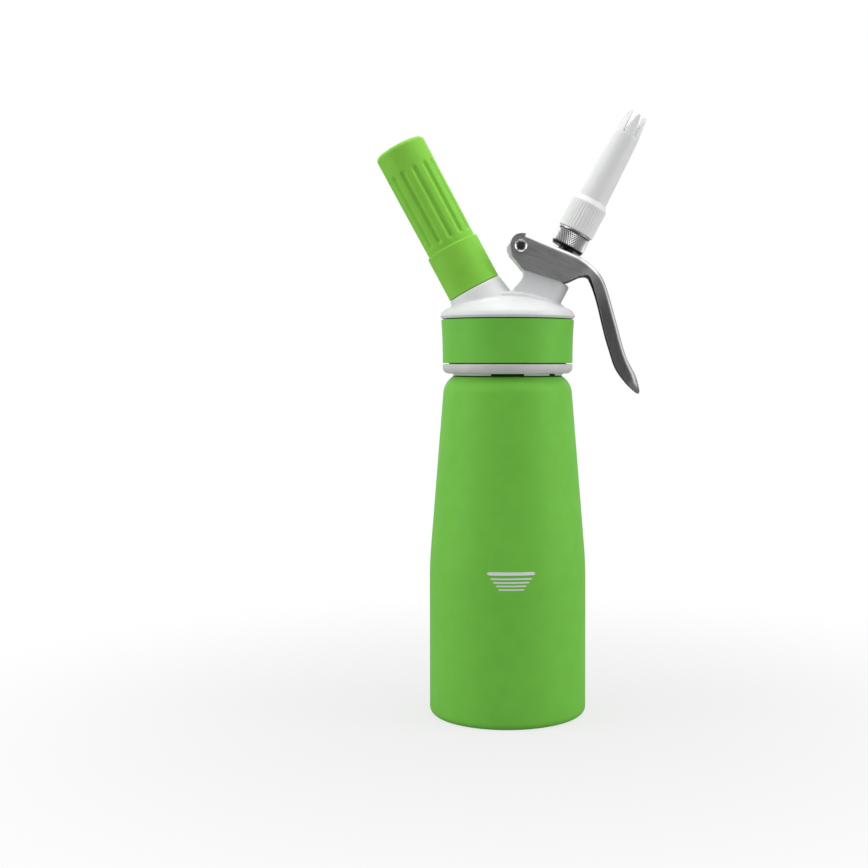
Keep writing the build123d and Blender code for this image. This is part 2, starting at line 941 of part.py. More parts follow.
with BuildPart() as decorator_tip:
    turned(
        valve_section,
        valve_axis,
        [
            (0, skirt_foot),
            (skirt_radius, skirt_foot),
            (skirt_radius, adapter_bottom + skirt_top),
            (nozzle_base_radius, adapter_bottom + shoulder_top),
            (nozzle_knee_radius, adapter_bottom + nozzle_knee),
            (nozzle_end_radius, nozzle_end),
            (0, nozzle_end),
        ],
        [0, skirt_foot_edge, skirt_top_edge, shoulder_edge, nozzle_blend, nozzle_end_edge, 0],
    )
    bored(valve_section, valve_axis, skirt_bore_radius, skirt_foot - overrun, skirt_bore_top)
    turned(
        valve_section,
        valve_axis,
        [
            (0, skirt_bore_top - overrun),
            (nozzle_base_radius - nozzle_wall, skirt_bore_top - overrun),
            (nozzle_base_radius - nozzle_wall, adapter_bottom + shoulder_top),
            (nozzle_knee_radius - nozzle_wall, adapter_bottom + nozzle_knee),
            (nozzle_end_radius - nozzle_wall, nozzle_end + overrun),
            (0, nozzle_end + overrun),
        ],
        mode=Mode.SUBTRACT,
    )
    # V cuts right through the end make the slots in pairs
    for pair in range(slot_pairs):
        slot_plane, _ = side_section(valve_cross, 0, slot_turn + 180 * pair / slot_pairs)
        slot_base = nozzle_end - slot_depth
        with BuildSketch(slot_plane):
            with BuildLine():
                Polyline(
                    (-slot_root_width / 2, slot_base),
                    (slot_root_width / 2, slot_base),
                    (slot_width / 2, nozzle_end),
                    (slot_width / 2, nozzle_end + overrun),
                    (-slot_width / 2, nozzle_end + overrun),
                    (-slot_width / 2, nozzle_end),
                    close=True,
                )
            make_face()
        extrude(amount=2 * nozzle_end_radius, both=True, mode=Mode.SUBTRACT)
decorator_tip.part.label = "decorator_tip"
export_step(decorator_tip.part, "parts/decorator_tip.step")

# ------------------------------------------------------------------ lever
cheek_inner = turret_radius + cheek_play
cheek_outer = cheek_inner + sheet
plate_run = Vector(cos(radians(plate_slope)), -sin(radians(plate_slope)))
plate_square = Vector(sin(radians(plate_slope)), cos(radians(plate_slope)))
plate_start = plate_square * plate_rise
plate_end = plate_start + plate_run * plate_length
bend_run = Vector(cos(radians(bend_turn)), -sin(radians(bend_turn)))
bend_square = Vector(sin(radians(bend_turn)), cos(radians(bend_turn)))
plate_station = plate_end.dot(bend_run)


def on_handle(share, height):
    """Place from the hinge of a point of the handle's side outline."""
    station = plate_station + share * (handle_end_reach - plate_station)
    return bend_run * station + bend_square * height


back_places = [on_handle(*point) for point in handle_back]
front_places = [on_handle(*point) for point in handle_front]


def inset(points, distance):
    """Points moved to the right-hand side of their run by a distance."""
    moved = []
    for before, place, after in zip([points[0]] + points, points, points[1:] + [points[-1]]):
        run = (after - before).normalized()
        moved.append(place + Vector(run.Y, -run.X) * distance)
    return moved


# The bend plane looks squarely at the lever's bend, so one plan outline narrows plate and handle.
bend_plane = Plane(
    origin=(hinge_x, 0, hinge_z),
    x_dir=(bend_run.X, 0, bend_run.Y),
    z_dir=(bend_square.X, 0, bend_square.Y),
)


def lever_plan(margin):
    """Plan outline of the lever seen squarely at its bend, smaller all round by margin."""
    wide = cheek_outer - margin
    slim = handle_half_width - margin
    taper = Spline(
        (taper_start, wide),
        (taper_middle, (wide + slim) / 2),
        (taper_end, slim),
        tangents=[(1, 0), (1, 0)],
    )
    Polyline((-cheek_outer, 0), (-cheek_outer, wide), taper @ 0)
    side = Line(taper @ 1, (handle_end_reach, slim))
    round_end = RadiusArc(side @ 1, (handle_end_reach + slim, 0), slim)
    Line(round_end @ 1, (-cheek_outer, 0))


# room inside the folded sheet, open at the nose and along the front
with BuildPart() as lever_hollow:
    with BuildSketch(hinge_plane):
        with BuildLine():
            hollow_start = plate_square * plate_under - plate_run * nose_lap
            hollow_bend = plate_end - plate_square * sheet
            hollow_back = Spline(
                hollow_bend,
                *inset([plate_end, *back_places], sheet)[1:],
                tangents=[plate_run, handle_back_end_run],
            )
            Polyline(
                hollow_back @ 1,
                hollow_back @ 1 + Vector(-1, -1) * long_overrun,
                hollow_start - plate_run * cut_depth,
                hollow_start + (plate_square - plate_run) * long_overrun,
                hollow_start + plate_square * long_overrun,
                hollow_start,
                hollow_bend,
            )
        make_face()
    extrude(amount=cheek_inner, both=True)
    with BuildSketch(bend_plane):
        with BuildLine():
            lever_plan(sheet)
        make_face()
        mirror(about=Plane.XZ)
    extrude(amount=cut_depth, both=True, mode=Mode.INTERSECT)

with BuildPart() as lever:
    with BuildSketch(hinge_plane):
        with BuildLine():
            nose = ThreePointArc(nose_front, nose_brow, plate_start)
            Line(nose @ 1, plate_end)
            back = Spline(plate_end, *back_places, tangents=[plate_run, handle_back_end_run])
            end = ThreePointArc(back @ 1, on_handle(*handle_end), on_handle(*handle_tip))
            front = Spline(end @ 1, *front_places)
            corner = Spline(front @ 1, *cheek_corner, tangents=[front % 1, cheek_low_run])
            edge = Spline(corner @ 1, *cheek_edge, tangents=[cheek_low_run, cheek_end_run])
            Polyline(edge @ 1, nose_heel, nose @ 0)
        make_face()
    extrude(amount=cheek_outer, both=True)
    with BuildSketch(bend_plane):
        with BuildLine():
            lever_plan(0)
        make_face()
        mirror(about=Plane.XZ)
    extrude(amount=cut_depth, both=True, mode=Mode.INTERSECT)
    # bend radius where the cheeks fold down from the plate and the handle's back
    crown = lever.faces().filter_by(lambda face: face.normal_at().dot(bend_plane.z_dir) > 0.6)
    sides = crown.edges().filter_by(lambda edge: abs(edge.center().Y) > 1)
    fillet(sides.filter_by(lambda edge: abs(edge.tangent_at(0.5).Y) < 0.7), sheet_bend)
    add(lever_hollow.part, mode=Mode.SUBTRACT)
    # hole for the valve stem
    stem_hole_centre = plate_run * stem_hole_reach + plate_square * plate_rise
    with BuildSketch(
        Plane(
            origin=hinge_plane.from_local_coords(stem_hole_centre),
            x_dir=(0, 1, 0),
            z_dir=(plate_square.X, 0, plate_square.Y),
        )
    ):
        Circle(stem_hole_radius)
    extrude(amount=2 * sheet, both=True, mode=Mode.SUBTRACT)
    # hinge holes in both cheeks
    with BuildSketch(hinge_plane):
        Circle(hinge_shaft_radius + 2 * hinge_bore_play)
    extrude(amount=2 * cheek_outer, both=True, mode=Mode.SUBTRACT)
lever.part.label = "lever"
export_step(lever.part, "parts/lever.step")

# ------------------------------------------------------------------ hinge pin
head_start = cheek_outer + hinge_head_gap
head_end = head_start + hinge_head_height

with BuildPart() as hinge_pin:
    # hollow barrel whose cupped head is on the -Y side
    with BuildSketch(hinge_plane.offset(-head_start)):
        Circle(hinge_shaft_radius)
    extrude(amount=2 * head_start)
    with BuildSketch(hinge_plane.offset(head_start)):
        Circle(hinge_head_radius)
    extrude(amount=hinge_head_height)
    fillet(hinge_pin.faces().sort_by(Axis.Y)[0].edges(), hinge_head_edge)
    with BuildSketch(hinge_plane.offset(head_end)):
        Circle(hinge_cup_radius)
    extrude(amount=-hinge_cup_depth, mode=Mode.SUBTRACT)
    with BuildSketch(hinge_plane.offset(-head_start)):
        Circle(hinge_screw_radius)
    extrude(amount=hinge_screw_length, mode=Mode.SUBTRACT)
hinge_pin.part.label = "hinge_pin"
export_step(hinge_pin.part, "parts/hinge_pin.step")

with BuildPart() as hinge_screw:
    # closing screw on the +Y side
    with BuildSketch(hinge_plane.offset(-head_start)):
        Circle(hinge_screw_radius)
    extrude(amount=hinge_screw_length - hinge_screw_play)
    with BuildSketch(hinge_plane.offset(-head_end)):
        Circle(hinge_head_radius)
    extrude(amount=hinge_head_height)
    fillet(hinge_screw.faces().sort_by(Axis.Y)[-1].edges(), hinge_head_edge)
    with BuildSketch(hinge_plane.offset(-head_end)):
        RegularPolygon(hinge_hex_radius, 6)
    extrude(amount=hinge_cup_depth, mode=Mode.SUBTRACT)
hinge_screw.part.label = "hinge_screw"
export_step(hinge_screw.part, "parts/hinge_screw.step")
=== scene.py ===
import json
from math import acos, ceil, cos, hypot, pi, radians, sin, sqrt, tan, tau

import bmesh
import bpy
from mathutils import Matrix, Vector


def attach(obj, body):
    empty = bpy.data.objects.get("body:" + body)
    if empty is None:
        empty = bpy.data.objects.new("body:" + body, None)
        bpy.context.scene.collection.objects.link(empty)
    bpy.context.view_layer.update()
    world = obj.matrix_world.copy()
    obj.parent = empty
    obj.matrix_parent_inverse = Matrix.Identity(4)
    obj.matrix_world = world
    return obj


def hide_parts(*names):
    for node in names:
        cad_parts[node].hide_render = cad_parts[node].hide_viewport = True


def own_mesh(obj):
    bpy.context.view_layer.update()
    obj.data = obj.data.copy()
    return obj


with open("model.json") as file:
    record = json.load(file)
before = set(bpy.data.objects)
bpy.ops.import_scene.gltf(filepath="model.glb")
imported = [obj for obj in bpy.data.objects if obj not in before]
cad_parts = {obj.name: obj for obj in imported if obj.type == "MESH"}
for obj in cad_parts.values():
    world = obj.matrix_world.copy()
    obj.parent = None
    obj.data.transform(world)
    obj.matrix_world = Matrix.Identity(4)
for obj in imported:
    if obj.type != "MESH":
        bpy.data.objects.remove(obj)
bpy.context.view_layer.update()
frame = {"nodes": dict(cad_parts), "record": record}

# Looks of a whipped cream dispenser: a green lacquered bottle, a white screw-on head, a brushed
# lever, a knurled adapter with a white decorator tip, and a green charger holder.
# Metres, +Z up, origin at the centre of the bottle's base, +X towards the lever.

nodes = frame["nodes"]
mm = 0.001


def srgb(red, green, blue):
    """Linear colour of a display colour given in steps of 0 to 255."""
    shares = [step / 255 for step in (red, green, blue)]
    linear = [share / 12.92 if share <= 0.04045 else ((share + 0.055) / 1.055) ** 2.4 for share in shares]
    return (*linear, 1.0)


# ------------------------------------------------------------------ sizes
# Bottle
bottle_radius = 38.0 * mm
bottle_wall = 1.5 * mm
bottle_floor = 2.0 * mm
base_edge = 3.4 * mm
straight_height = 73.0 * mm
taper = radians(4.58)
taper_blend = 175.0 * mm
shoulder_z = 165.2 * mm
shoulder_slope = radians(28.0)
shoulder_round = 10.5 * mm
neck_radius = 24.5 * mm
neck_bore = 22.3 * mm
mouth_z = 183.5 * mm
neck_pitch = 3.6 * mm
neck_thread_depth = 0.95 * mm

# The two turret axes lean this much either way from a shared crossing
tilt = radians(28.2)
crossing = Vector((1.0, 0, 174.7)) * mm
hinge = Vector((6.39, 0, 226.44)) * mm

# Lever
sheet = 1.5 * mm
cheek_outer = 12.1 * mm
handle_half = 7.0 * mm
fold_radius = 2.2 * mm
plate_turn = radians(22.8)
bend_turn = radians(49.5)

# Adapter: heights along the valve line, and the knurl's rows
adapter_foot = 58.15 * mm
adapter_top = 67.45 * mm
adapter_radius = 8.3 * mm
knurl_low = adapter_foot + 0.75 * mm
knurl_rows = 9
knurl_row = 0.86 * mm
knurl_high = knurl_low + knurl_rows * knurl_row

bodies = frame["record"]["behaviour"]["bodies"]
BODY_OF = {node: body for body, members in bodies.items() for node in members}


# ------------------------------------------------------------------ turning helpers
class Spindle:
    """A turning axis: its origin, its direction and the side that turns start from."""

    def __init__(self, origin, direction, start):
        self.origin = Vector(origin)
        self.direction = Vector(direction).normalized()
        self.start = Vector(start).normalized()
        self.side = self.direction.cross(self.start)

    def place(self, turn, radius, height):
        outwards = self.start * cos(turn) + self.side * sin(turn)
        return self.origin + outwards * radius + self.direction * height


upright = Spindle((0, 0, 0), (0, 0, 1), (1, 0, 0))
valve_line = Spindle(crossing, (sin(tilt), 0, cos(tilt)), (cos(tilt), 0, -sin(tilt)))
charger_line = Spindle(crossing, (-sin(tilt), 0, cos(tilt)), (cos(tilt), 0, sin(tilt)))
hinge_line = Spindle(hinge, (0, -1, 0), (1, 0, 0))


def smoothed(share):
    """Smooth step from 0 to 1."""
    share = min(max(share, 0.0), 1.0)
    return share * share * (3 - 2 * share)


def rounded(corners, radii, pieces=7):
    """An outline whose corners are replaced by arcs of the given radii, each with pieces + 1 places."""
    outline = []
    for index, (corner, radius) in enumerate(zip(corners, radii)):
        here = Vector(corner)
        if not radius:
            outline.append(here)
            continue
        before = (Vector(corners[index - 1]) - here).normalized()
        after = (Vector(corners[(index + 1) % len(corners)]) - here).normalized()
        half = acos(max(-1.0, min(1.0, before.dot(after)))) / 2
        centre = here + (before + after).normalized() * radius / sin(half)
        start = here + before * radius / tan(half) - centre
        end = here + after * radius / tan(half) - centre
        sweep = pi - 2 * half
        for step in range(pieces + 1):
            share = step / pieces
            outline.append(
                centre + (start * sin((1 - share) * sweep) + end * sin(share * sweep)) / sin(sweep)
            )
    return outline


def divided(outline, longest, closed=True):
    """The outline with its long runs divided into runs no longer than the given length."""
    places = []
    ends = outline[1:] + outline[:1] if closed else outline[1:]
    for here, there in zip(outline, ends):
        count = max(1, ceil((there - here).length / longest))
        places += [here.lerp(there, step / count) for step in range(count)]
    return places if closed else places + [outline[-1]]


def refined(outline, longest_of):
    """The open outline with each of its runs divided by the longest length that the run may have."""
    places = []
    for here, there in zip(outline, outline[1:]):
        places += divided([here, there], longest_of(here, there), closed=False)[:-1]
    return places + [outline[-1]]


def thread_groove(turns, land, flank):
    """Share of a thread's depth at a count of turns: none on the land, all in the root."""
    phase = turns % 1.0
    return smoothed((0.5 - abs(phase - 0.5) - land) / flank)


def add_object(name, data):
    """A new object in the scene."""
    made = bpy.data.objects.new(name, data)
    bpy.context.scene.collection.objects.link(made)
    return made


def shade_smooth(mesh, sharp):
    """Smooth shading but for edges sharper than an angle in degrees."""
    mesh.polygons.foreach_set("use_smooth", [True] * len(mesh.polygons))
    mesh.set_sharp_from_angle(angle=radians(sharp))


def mesh_piece(name, vertices, faces, sharp=35):
    """A mesh object with outward faces, smooth but for edges sharper than the given angle."""
    mesh = bpy.data.meshes.new(name)
    mesh.from_pydata(vertices, [], faces)
    shape = bmesh.new()
    shape.from_mesh(mesh)
    bmesh.ops.recalc_face_normals(shape, faces=shape.faces)
    shape.to_mesh(mesh)
    shape.free()
    shade_smooth(mesh, sharp)
    return add_object(name, mesh)


def lathe(name, spindle, outline, steps, radius_at=None, diamonds=(), sharp=35):
    """Turn an outline of (radius, height) points. One that starts on the axis also ends there, and
    any other is a closed ring. The rows in diamonds are split along alternating diagonals."""
    vertices, faces, rings = [], [], []
    for radius, height in outline:
        if radius < 1e-7:
            rings.append([len(vertices)] * steps)
            vertices.append(spindle.place(0, 0, height))
            continue
        rings.append(list(range(len(vertices), len(vertices) + steps)))
        for step in range(steps):
            turn = tau * step / steps
            reach = radius_at(turn, radius, height) if radius_at else radius
            vertices.append(spindle.place(turn, reach, height))
    is_ring = outline[0][0] > 1e-7
    for row in range(len(rings) if is_ring else len(rings) - 1):
        low, high = rings[row], rings[(row + 1) % len(rings)]
        for step in range(steps):
            after = (step + 1) % steps
            corners = [low[step], low[after], high[after], high[step]]
            if row in diamonds:
                if (row + step) % 2:
                    corners = corners[1:] + corners[:1]
                faces += [(corners[0], corners[1], corners[2]), (corners[0], corners[2], corners[3])]
            else:
                faces.append(tuple(dict.fromkeys(corners)))
    return mesh_piece(name, vertices, [face for face in faces if len(face) > 2], sharp)


def apply_all(piece):
    """Turn the piece's modifiers into plain mesh."""
    bpy.context.view_layer.update()
    evaluated = piece.evaluated_get(bpy.context.evaluated_depsgraph_get())
    mesh = bpy.data.meshes.new_from_object(evaluated)
    piece.modifiers.clear()
    piece.data = mesh


def cut(piece, cutters):
    """Cut solid pieces out of a piece and remove them."""
    for cutter in cutters:
        knife = piece.modifiers.new(cutter.name, "BOOLEAN")
        knife.operation = "DIFFERENCE"
        knife.solver = "EXACT"
        knife.object = cutter
    apply_all(piece)
    for cutter in cutters:
        bpy.data.objects.remove(cutter)


def fit(piece, body, finish, replaced=()):
    """Carry a piece on its body and finish, and hide the nodes that it stands for."""
    piece.data.materials.clear()
    piece.data.materials.append(finish.material)
    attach(piece, body)
    if replaced:
        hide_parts(*replaced)


# ------------------------------------------------------------------ finishes
class Channel:
    """A shader socket that Python expressions can use."""

    def __init__(self, shading, socket):
        self.shading = shading
        self.socket = socket

    def maths(self, operation, *values):
        return self.shading.node("ShaderNodeMath", {"operation": operation}, dict(enumerate(values)))

    def __add__(self, other):
        return self.maths("ADD", self, other)

    def __sub__(self, other):
        return self.maths("SUBTRACT", self, other)

    def __rsub__(self, other):
        return self.maths("SUBTRACT", other, self)

    def __mul__(self, other):
        return self.maths("MULTIPLY", self, other)

    __radd__ = __add__
    __rmul__ = __mul__

    def step(self, low, high):
        """Smooth step of this value from 0 at low to 1 at high."""
        settings = {"interpolation_type": "SMOOTHSTEP"}
        return self.shading.node("ShaderNodeMapRange", settings, {0: self, 1: low, 2: high})


class Shading:
    """A node tree that Python expressions add to."""

    def __init__(self, tree):
        self.tree = tree

    def feed(self, socket, value):
        if isinstance(value, Channel):
            self.tree.links.new(value.socket, socket)
        else:
            socket.default_value = value

    def node(self, kind, settings, values, output=0):
        """Add a node: its settings first, then the values or links of its sockets."""
        made = self.tree.nodes.new(kind)
        for setting, value in settings.items():
            setattr(made, setting, value)
        for socket, value in values.items():
            self.feed(made.inputs[socket], value)
        return Channel(self, made.outputs[output]) if made.outputs else None


class Finish(Shading):
    """A procedural surface on a Principled shader."""

    def __init__(self, name, **constants):
        self.material = bpy.data.materials.new(name)
        self.material.use_nodes = True
        super().__init__(self.material.node_tree)
        self.shader = self.tree.nodes["Principled BSDF"]
        self.place = self.node("ShaderNodeTexCoord", {}, {}, output="Object")
        for socket, value in constants.items():
            self.feed(self.shader.inputs[socket.replace("_", " ")], value)

    def noise(self, size, detail=2.0, roughness=0.5, place=None):
        """Noise whose features are about the given size."""
        values = {"Vector": place or self.place, "Scale": 1 / size, "Detail": detail, "Roughness": roughness}
        return self.node("ShaderNodeTexNoise", {}, values)

    def grain(self, turn, length, width):
        """Streaks of a length and width that run down to +X by an angle."""
        values = {"Vector": self.place, "Rotation": (0, turn, 0), "Scale": (length, width, width)}
        along = self.node("ShaderNodeMapping", {"vector_type": "TEXTURE"}, values)
        return self.noise(1.0, 3.0, 0.6, along)

    def axis(self, name):
        """One coordinate of the place: X, Y or Z."""
        return self.node("ShaderNodeSeparateXYZ", {}, {0: self.place}, output="XYZ".index(name))

    def vector(self, operation, *values, output=0):
        return self.node("ShaderNodeVectorMath", {"operation": operation}, dict(enumerate(values)), output)

    def reach(self, spindle):
        """Distance of the place from a spindle's axis."""
        offset = self.vector("SUBTRACT", self.place, spindle.origin)
        return self.vector("LENGTH", self.vector("CROSS_PRODUCT", offset, spindle.direction), output="Value")

    def along(self, spindle):
        """Height of the place along a spindle's axis."""
        offset = self.vector("SUBTRACT", self.place, spindle.origin)
        return self.vector("DOT_PRODUCT", offset, spindle.direction, output="Value")

    def mix(self, share, first, second):
        """A colour between two colours."""
        return self.node("ShaderNodeMix", {"data_type": "RGBA"}, {0: share, 6: first, 7: second}, output=2)

    def relief(self, height, depth, strength=1.0, edge=0.0):
        """Bump the surface by a height of 0 to 1 times a depth, and soften its edges."""
        values = {"Strength": strength, "Distance": depth, "Height": height}
        if edge:
            values["Normal"] = self.node("ShaderNodeBevel", {"samples": 4}, {"Radius": edge})
        self.feed(self.shader.inputs["Normal"], self.node("ShaderNodeBump", {}, values))

    def colour(self, value):
        self.feed(self.shader.inputs["Base Color"], value)

    def roughness(self, value):
        self.feed(self.shader.inputs["Roughness"], value)


def green_coat(name, base, shade, edge=0.0, neck=False):
    """Satin soft-touch coat: an even green with fine orange peel and a faint mottle. On the bottle a
    painted shade darkens the gap under the ring, at the neck's foot."""
    finish = Finish(name, IOR=1.46, Specular_IOR_Level=0.2)
    mottle = finish.noise(9 * mm, 3.0)
    grain = finish.noise(0.35 * mm, 2.0)
    peel = finish.noise(1.6 * mm, 1.0)
    shown = finish.mix(mottle.step(0.3, 0.7) * 0.6 + grain * 0.4, base, shade)
    if neck:
        # painted shade: the shoulder in the gap under the ring is coloured dark green
        height = finish.along(upright)
        painted_neck_shade = height.step(162 * mm, 162.5 * mm) * (1 - height.step(165.1 * mm, 165.4 * mm))
        painted_neck_shade = painted_neck_shade * (1 - finish.reach(upright).step(26.6 * mm, 27.1 * mm))
        shown = finish.mix(painted_neck_shade, shown, srgb(42, 84, 36))
    finish.colour(shown)
    finish.roughness(0.42 + grain * 0.1 + mottle * 0.06)
    finish.relief(grain * 0.5 + peel * 0.5, 0.035 * mm, 0.5, edge)
    return finish


def white_moulding(name, base, shade, edge=0.25 * mm, joints=(), **constants):
    """Satin moulded plastic with a faint flow mottle and a fine eroded grain, and painted shade that
    darkens the bottom of its joints, each given by its lowest and highest place."""
    finish = Finish(name, IOR=1.48, Specular_IOR_Level=0.4, **constants)
    flow = finish.noise(14 * mm, 2.0)
    grain = finish.noise(0.3 * mm, 2.0)
    shown = finish.mix(flow.step(0.35, 0.65), base, shade)
    for low, high in joints:
        # painted shade: the core inside each joint's gap is coloured near black
        height, fade = finish.along(upright), 0.05 * mm
        painted_shade_inside = height.step(low, low + fade) - height.step(high - fade, high)
        painted_shade_inside = painted_shade_inside * finish.reach(upright).step(26 * mm, 27 * mm)
        shown = finish.mix(painted_shade_inside, shown, srgb(40, 40, 42))
    finish.colour(shown)
    finish.roughness(0.34 + grain * 0.12 + flow * 0.05)
    finish.relief(grain, 0.02 * mm, 0.4, edge)
    return finish


def brushed_sheet():
    """Stainless sheet brushed along the plate and then along the handle, whose colour is painted darker as
    painted shade.
    """
    finish = Finish("brushed_sheet", Metallic=1.0)
    length, width, handle_turn = 9 * mm, 0.32 * mm, radians(72.5)
    plate_grain = finish.grain(plate_turn, length, width)
    handle_grain = finish.grain(handle_turn, length, width)
    reach = finish.axis("X") * cos(bend_turn) - finish.axis("Z") * sin(bend_turn)
    bend = (hinge.x * cos(bend_turn) - hinge.z * sin(bend_turn)) + 33 * mm
    on_handle = reach.step(bend - 4 * mm, bend + 4 * mm)
    grain = plate_grain * (1 - on_handle) + handle_grain * on_handle
    scuff = finish.noise(6 * mm, 3.0)
    plate = finish.mix(grain.step(0.3, 0.7), srgb(195, 195, 196), srgb(222, 222, 223))
    # painted shade: the handle's steel is coloured darker than the plate's
    painted_dark_handle = finish.mix(grain.step(0.3, 0.7), srgb(136, 136, 137), srgb(150, 150, 151))
    finish.colour(finish.mix(on_handle, plate, painted_dark_handle))
    finish.roughness(0.32 + grain * 0.12 + scuff * 0.04)
    finish.relief(grain, 0.02 * mm, 0.3)
    return finish


def turned_metal(name, spindle, base, bright, rough, groove=0.12 * mm, painted_shade_masks=()):
    """Lathe-turned metal with fine rings round its axis, and painted shade that darkens its hollows."""
    finish = Finish(name, Metallic=1.0)
    line = finish.node("ShaderNodeCombineXYZ", {}, {2: finish.along(spindle)})
    rings = finish.noise(groove, 2.0, 0.6, line)
    smear = finish.noise(2.5 * mm, 2.0)
    shade = finish.mix(rings.step(0.35, 0.65), base, bright)
    # painted shade: each hollow is coloured near black
    for painted_shade_mask, low, high in painted_shade_masks:
        shade = finish.mix(painted_shade_mask(finish).step(low, high), shade, srgb(26, 26, 27))
    finish.colour(shade)
    finish.roughness(rough + rings * 0.1 + smear * 0.05)
    finish.relief(rings, 0.01 * mm, 0.4)
    return finish


def knurl_grooves(finish):
    """Distance that a place on the knurl lies below its crests."""
    on_knurl = 1 - finish.along(valve_line).step(knurl_high - 0.24 * mm, knurl_high + 0.06 * mm)
    return (adapter_radius - finish.reach(valve_line)) * on_knurl


def under_side(finish):
    """One on the adapter's bevel and its under side, nothing above them."""
    return 1 - finish.along(valve_line).step(knurl_low - 0.2 * mm, knurl_low + 0.05 * mm)


def cup_floor(finish):
    """One in the pin's cup, nothing on its rim."""
    painted_shade_inside = 1 - finish.reach(hinge_line).step(2.1 * mm, 2.2 * mm)
    return painted_shade_inside * finish.along(hinge_line).step(11.5 * mm, 12.0 * mm)


def silicone():
    """Milky silicone of the seals."""
    finish = Finish("seal_silicone", IOR=1.42)
    cloud = finish.noise(1.5 * mm, 2.0)
    finish.colour(finish.mix(cloud, srgb(205, 203, 194), srgb(222, 220, 212)))
    finish.roughness(0.5 + cloud * 0.15)
    finish.relief(cloud, 0.03 * mm, 0.3)
    return finish


green = green_coat("green_lacquer", srgb(127, 212, 77), srgb(122, 205, 74), neck=True)
band_green = green_coat("green_band", srgb(124, 211, 78), srgb(119, 204, 75), 0.2 * mm)
sleeve_green = green_coat("green_sleeve", srgb(146, 221, 78), srgb(140, 214, 74))
white = white_moulding("white_plastic", srgb(238, 239, 240), srgb(233, 235, 236))
# The head's plastic carries painted shade in the gaps of its two joints.
head_white = white_moulding(
    "head_plastic",
    srgb(238, 239, 240),
    srgb(233, 235, 236),
    joints=[(169.9 * mm, 170.6 * mm), (191.3 * mm, 191.85 * mm)],
)
tip_white = white_moulding(
    "tip_plastic",
    srgb(250, 250, 250),
    srgb(246, 247, 247),
    0.1 * mm,
    Subsurface_Weight=0.15,
    Subsurface_Scale=2 * mm,
    Subsurface_Radius=(1, 1, 1),
)
pale = white_moulding("pale_ring", srgb(222, 219, 221), srgb(214, 212, 214))
brushed = brushed_sheet()
# painted shade: the stem's steel is coloured nearly black, for the shade under the adapter
polished = turned_metal("polished_steel", valve_line, srgb(58, 58, 60), srgb(74, 74, 76), 0.2)
# painted shade: the pin's cup is coloured near black
pin_steel = turned_metal(
    "pin_steel", hinge_line, srgb(176, 176, 176), srgb(196, 196, 196), 0.2, painted_shade_masks=[(cup_floor, 0.3, 1.6)]
)
turned = turned_metal("turned_steel", valve_line, srgb(150, 150, 150), srgb(172, 172, 172), 0.28)
# painted shade: the knurl's grooves and the adapter's bevel and under side are coloured near black
knurl_steel = turned_metal(
    "knurled_steel",
    valve_line,
    srgb(196, 196, 196),
    srgb(214, 214, 214),
    0.24,
    painted_shade_masks=[(knurl_grooves, 0.07 * mm, 0.24 * mm), (under_side, 0.3, 0.7)],
)
charger_steel = turned_metal("charger_steel", charger_line, srgb(186, 188, 192), srgb(204, 206, 208), 0.22)
port_metal = turned_metal("plated_brass", charger_line, srgb(190, 186, 178), srgb(206, 203, 196), 0.26)
shell_metal = turned_metal("holder_aluminium", charger_line, srgb(190, 191, 193), srgb(208, 208, 210), 0.34)
seal = silicone()
print_white = white_moulding("fill_mark_print", srgb(245, 246, 245), srgb(238, 240, 238), 0.0)


# ------------------------------------------------------------------ bottle
def bottle_side(inset, floor, neck):
    """Half outline of the bottle, moved inwards by inset, from its axis round to its mouth."""
    rise, slope = tan(taper), tan(shoulder_slope)
    top = shoulder_z - inset / cos(shoulder_slope) + neck_radius * slope
    side = bottle_radius - inset / cos(taper)
    corner = (side - rise * (top - straight_height)) / (1 - rise * slope)
    return [
        (0, floor),
        (bottle_radius - inset, floor),
        (bottle_radius - inset, straight_height - inset * rise / 2),
        (corner, top - corner * slope),
        (neck, top - neck * slope),
        (neck, mouth_z),
    ]


def make_bottle():
    """One shell: its outside, the rim of its mouth and its inside, with the thread on its neck."""
    pieces = 12
    root_round, rim_round, lip_round = 0.5 * mm, 0.8 * mm, 0.4 * mm
    outer = rounded(
        bottle_side(0, 0, neck_radius),
        [0, base_edge, taper_blend, shoulder_round, root_round, rim_round],
        pieces,
    )
    inner = rounded(
        bottle_side(bottle_wall, bottle_floor, neck_bore),
        [0, base_edge - bottle_wall, taper_blend, shoulder_round - bottle_wall, 2.0 * mm, 0],
        pieces,
    )
    # The mouth's last corner leans on the outline's first one, so its rim is rounded by itself.
    below_mouth = outer[: -(pieces + 1)]
    rim = [below_mouth[-1], (neck_radius, mouth_z), (neck_bore, mouth_z), (neck_bore, mouth_z - 2 * mm)]
    outline = below_mouth + rounded(rim, [0, rim_round, lip_round, 0])[1:] + inner[::-1]
    thread_low, thread_high = shoulder_z + 2.2 * mm, mouth_z - 1.6 * mm
    skin = 0.1 * mm

    def threaded(turn, radius, height):
        """Radius of the neck with the thread's grooves sunk into it."""
        if radius < neck_radius - skin or height < thread_low or height > thread_high:
            return radius
        fade = smoothed((height - thread_low) / mm) * smoothed((thread_high - height) / mm)
        turns = (height - thread_low) / neck_pitch - turn / tau
        return radius - neck_thread_depth * thread_groove(turns, 0.12, 0.16) * fade

    def longest(here, there):
        """Short runs up the neck, where the thread is, and long ones elsewhere."""
        on_neck = min(here[0], there[0]) > neck_radius - skin and there[1] > shoulder_z
        return 0.3 * mm if on_neck and here[0] < neck_radius + skin else 8 * mm

    piece = lathe("bottle_shell", upright, refined(outline, longest), 192, threaded)
    fit(piece, BODY_OF["bottle"], green, ["bottle"])


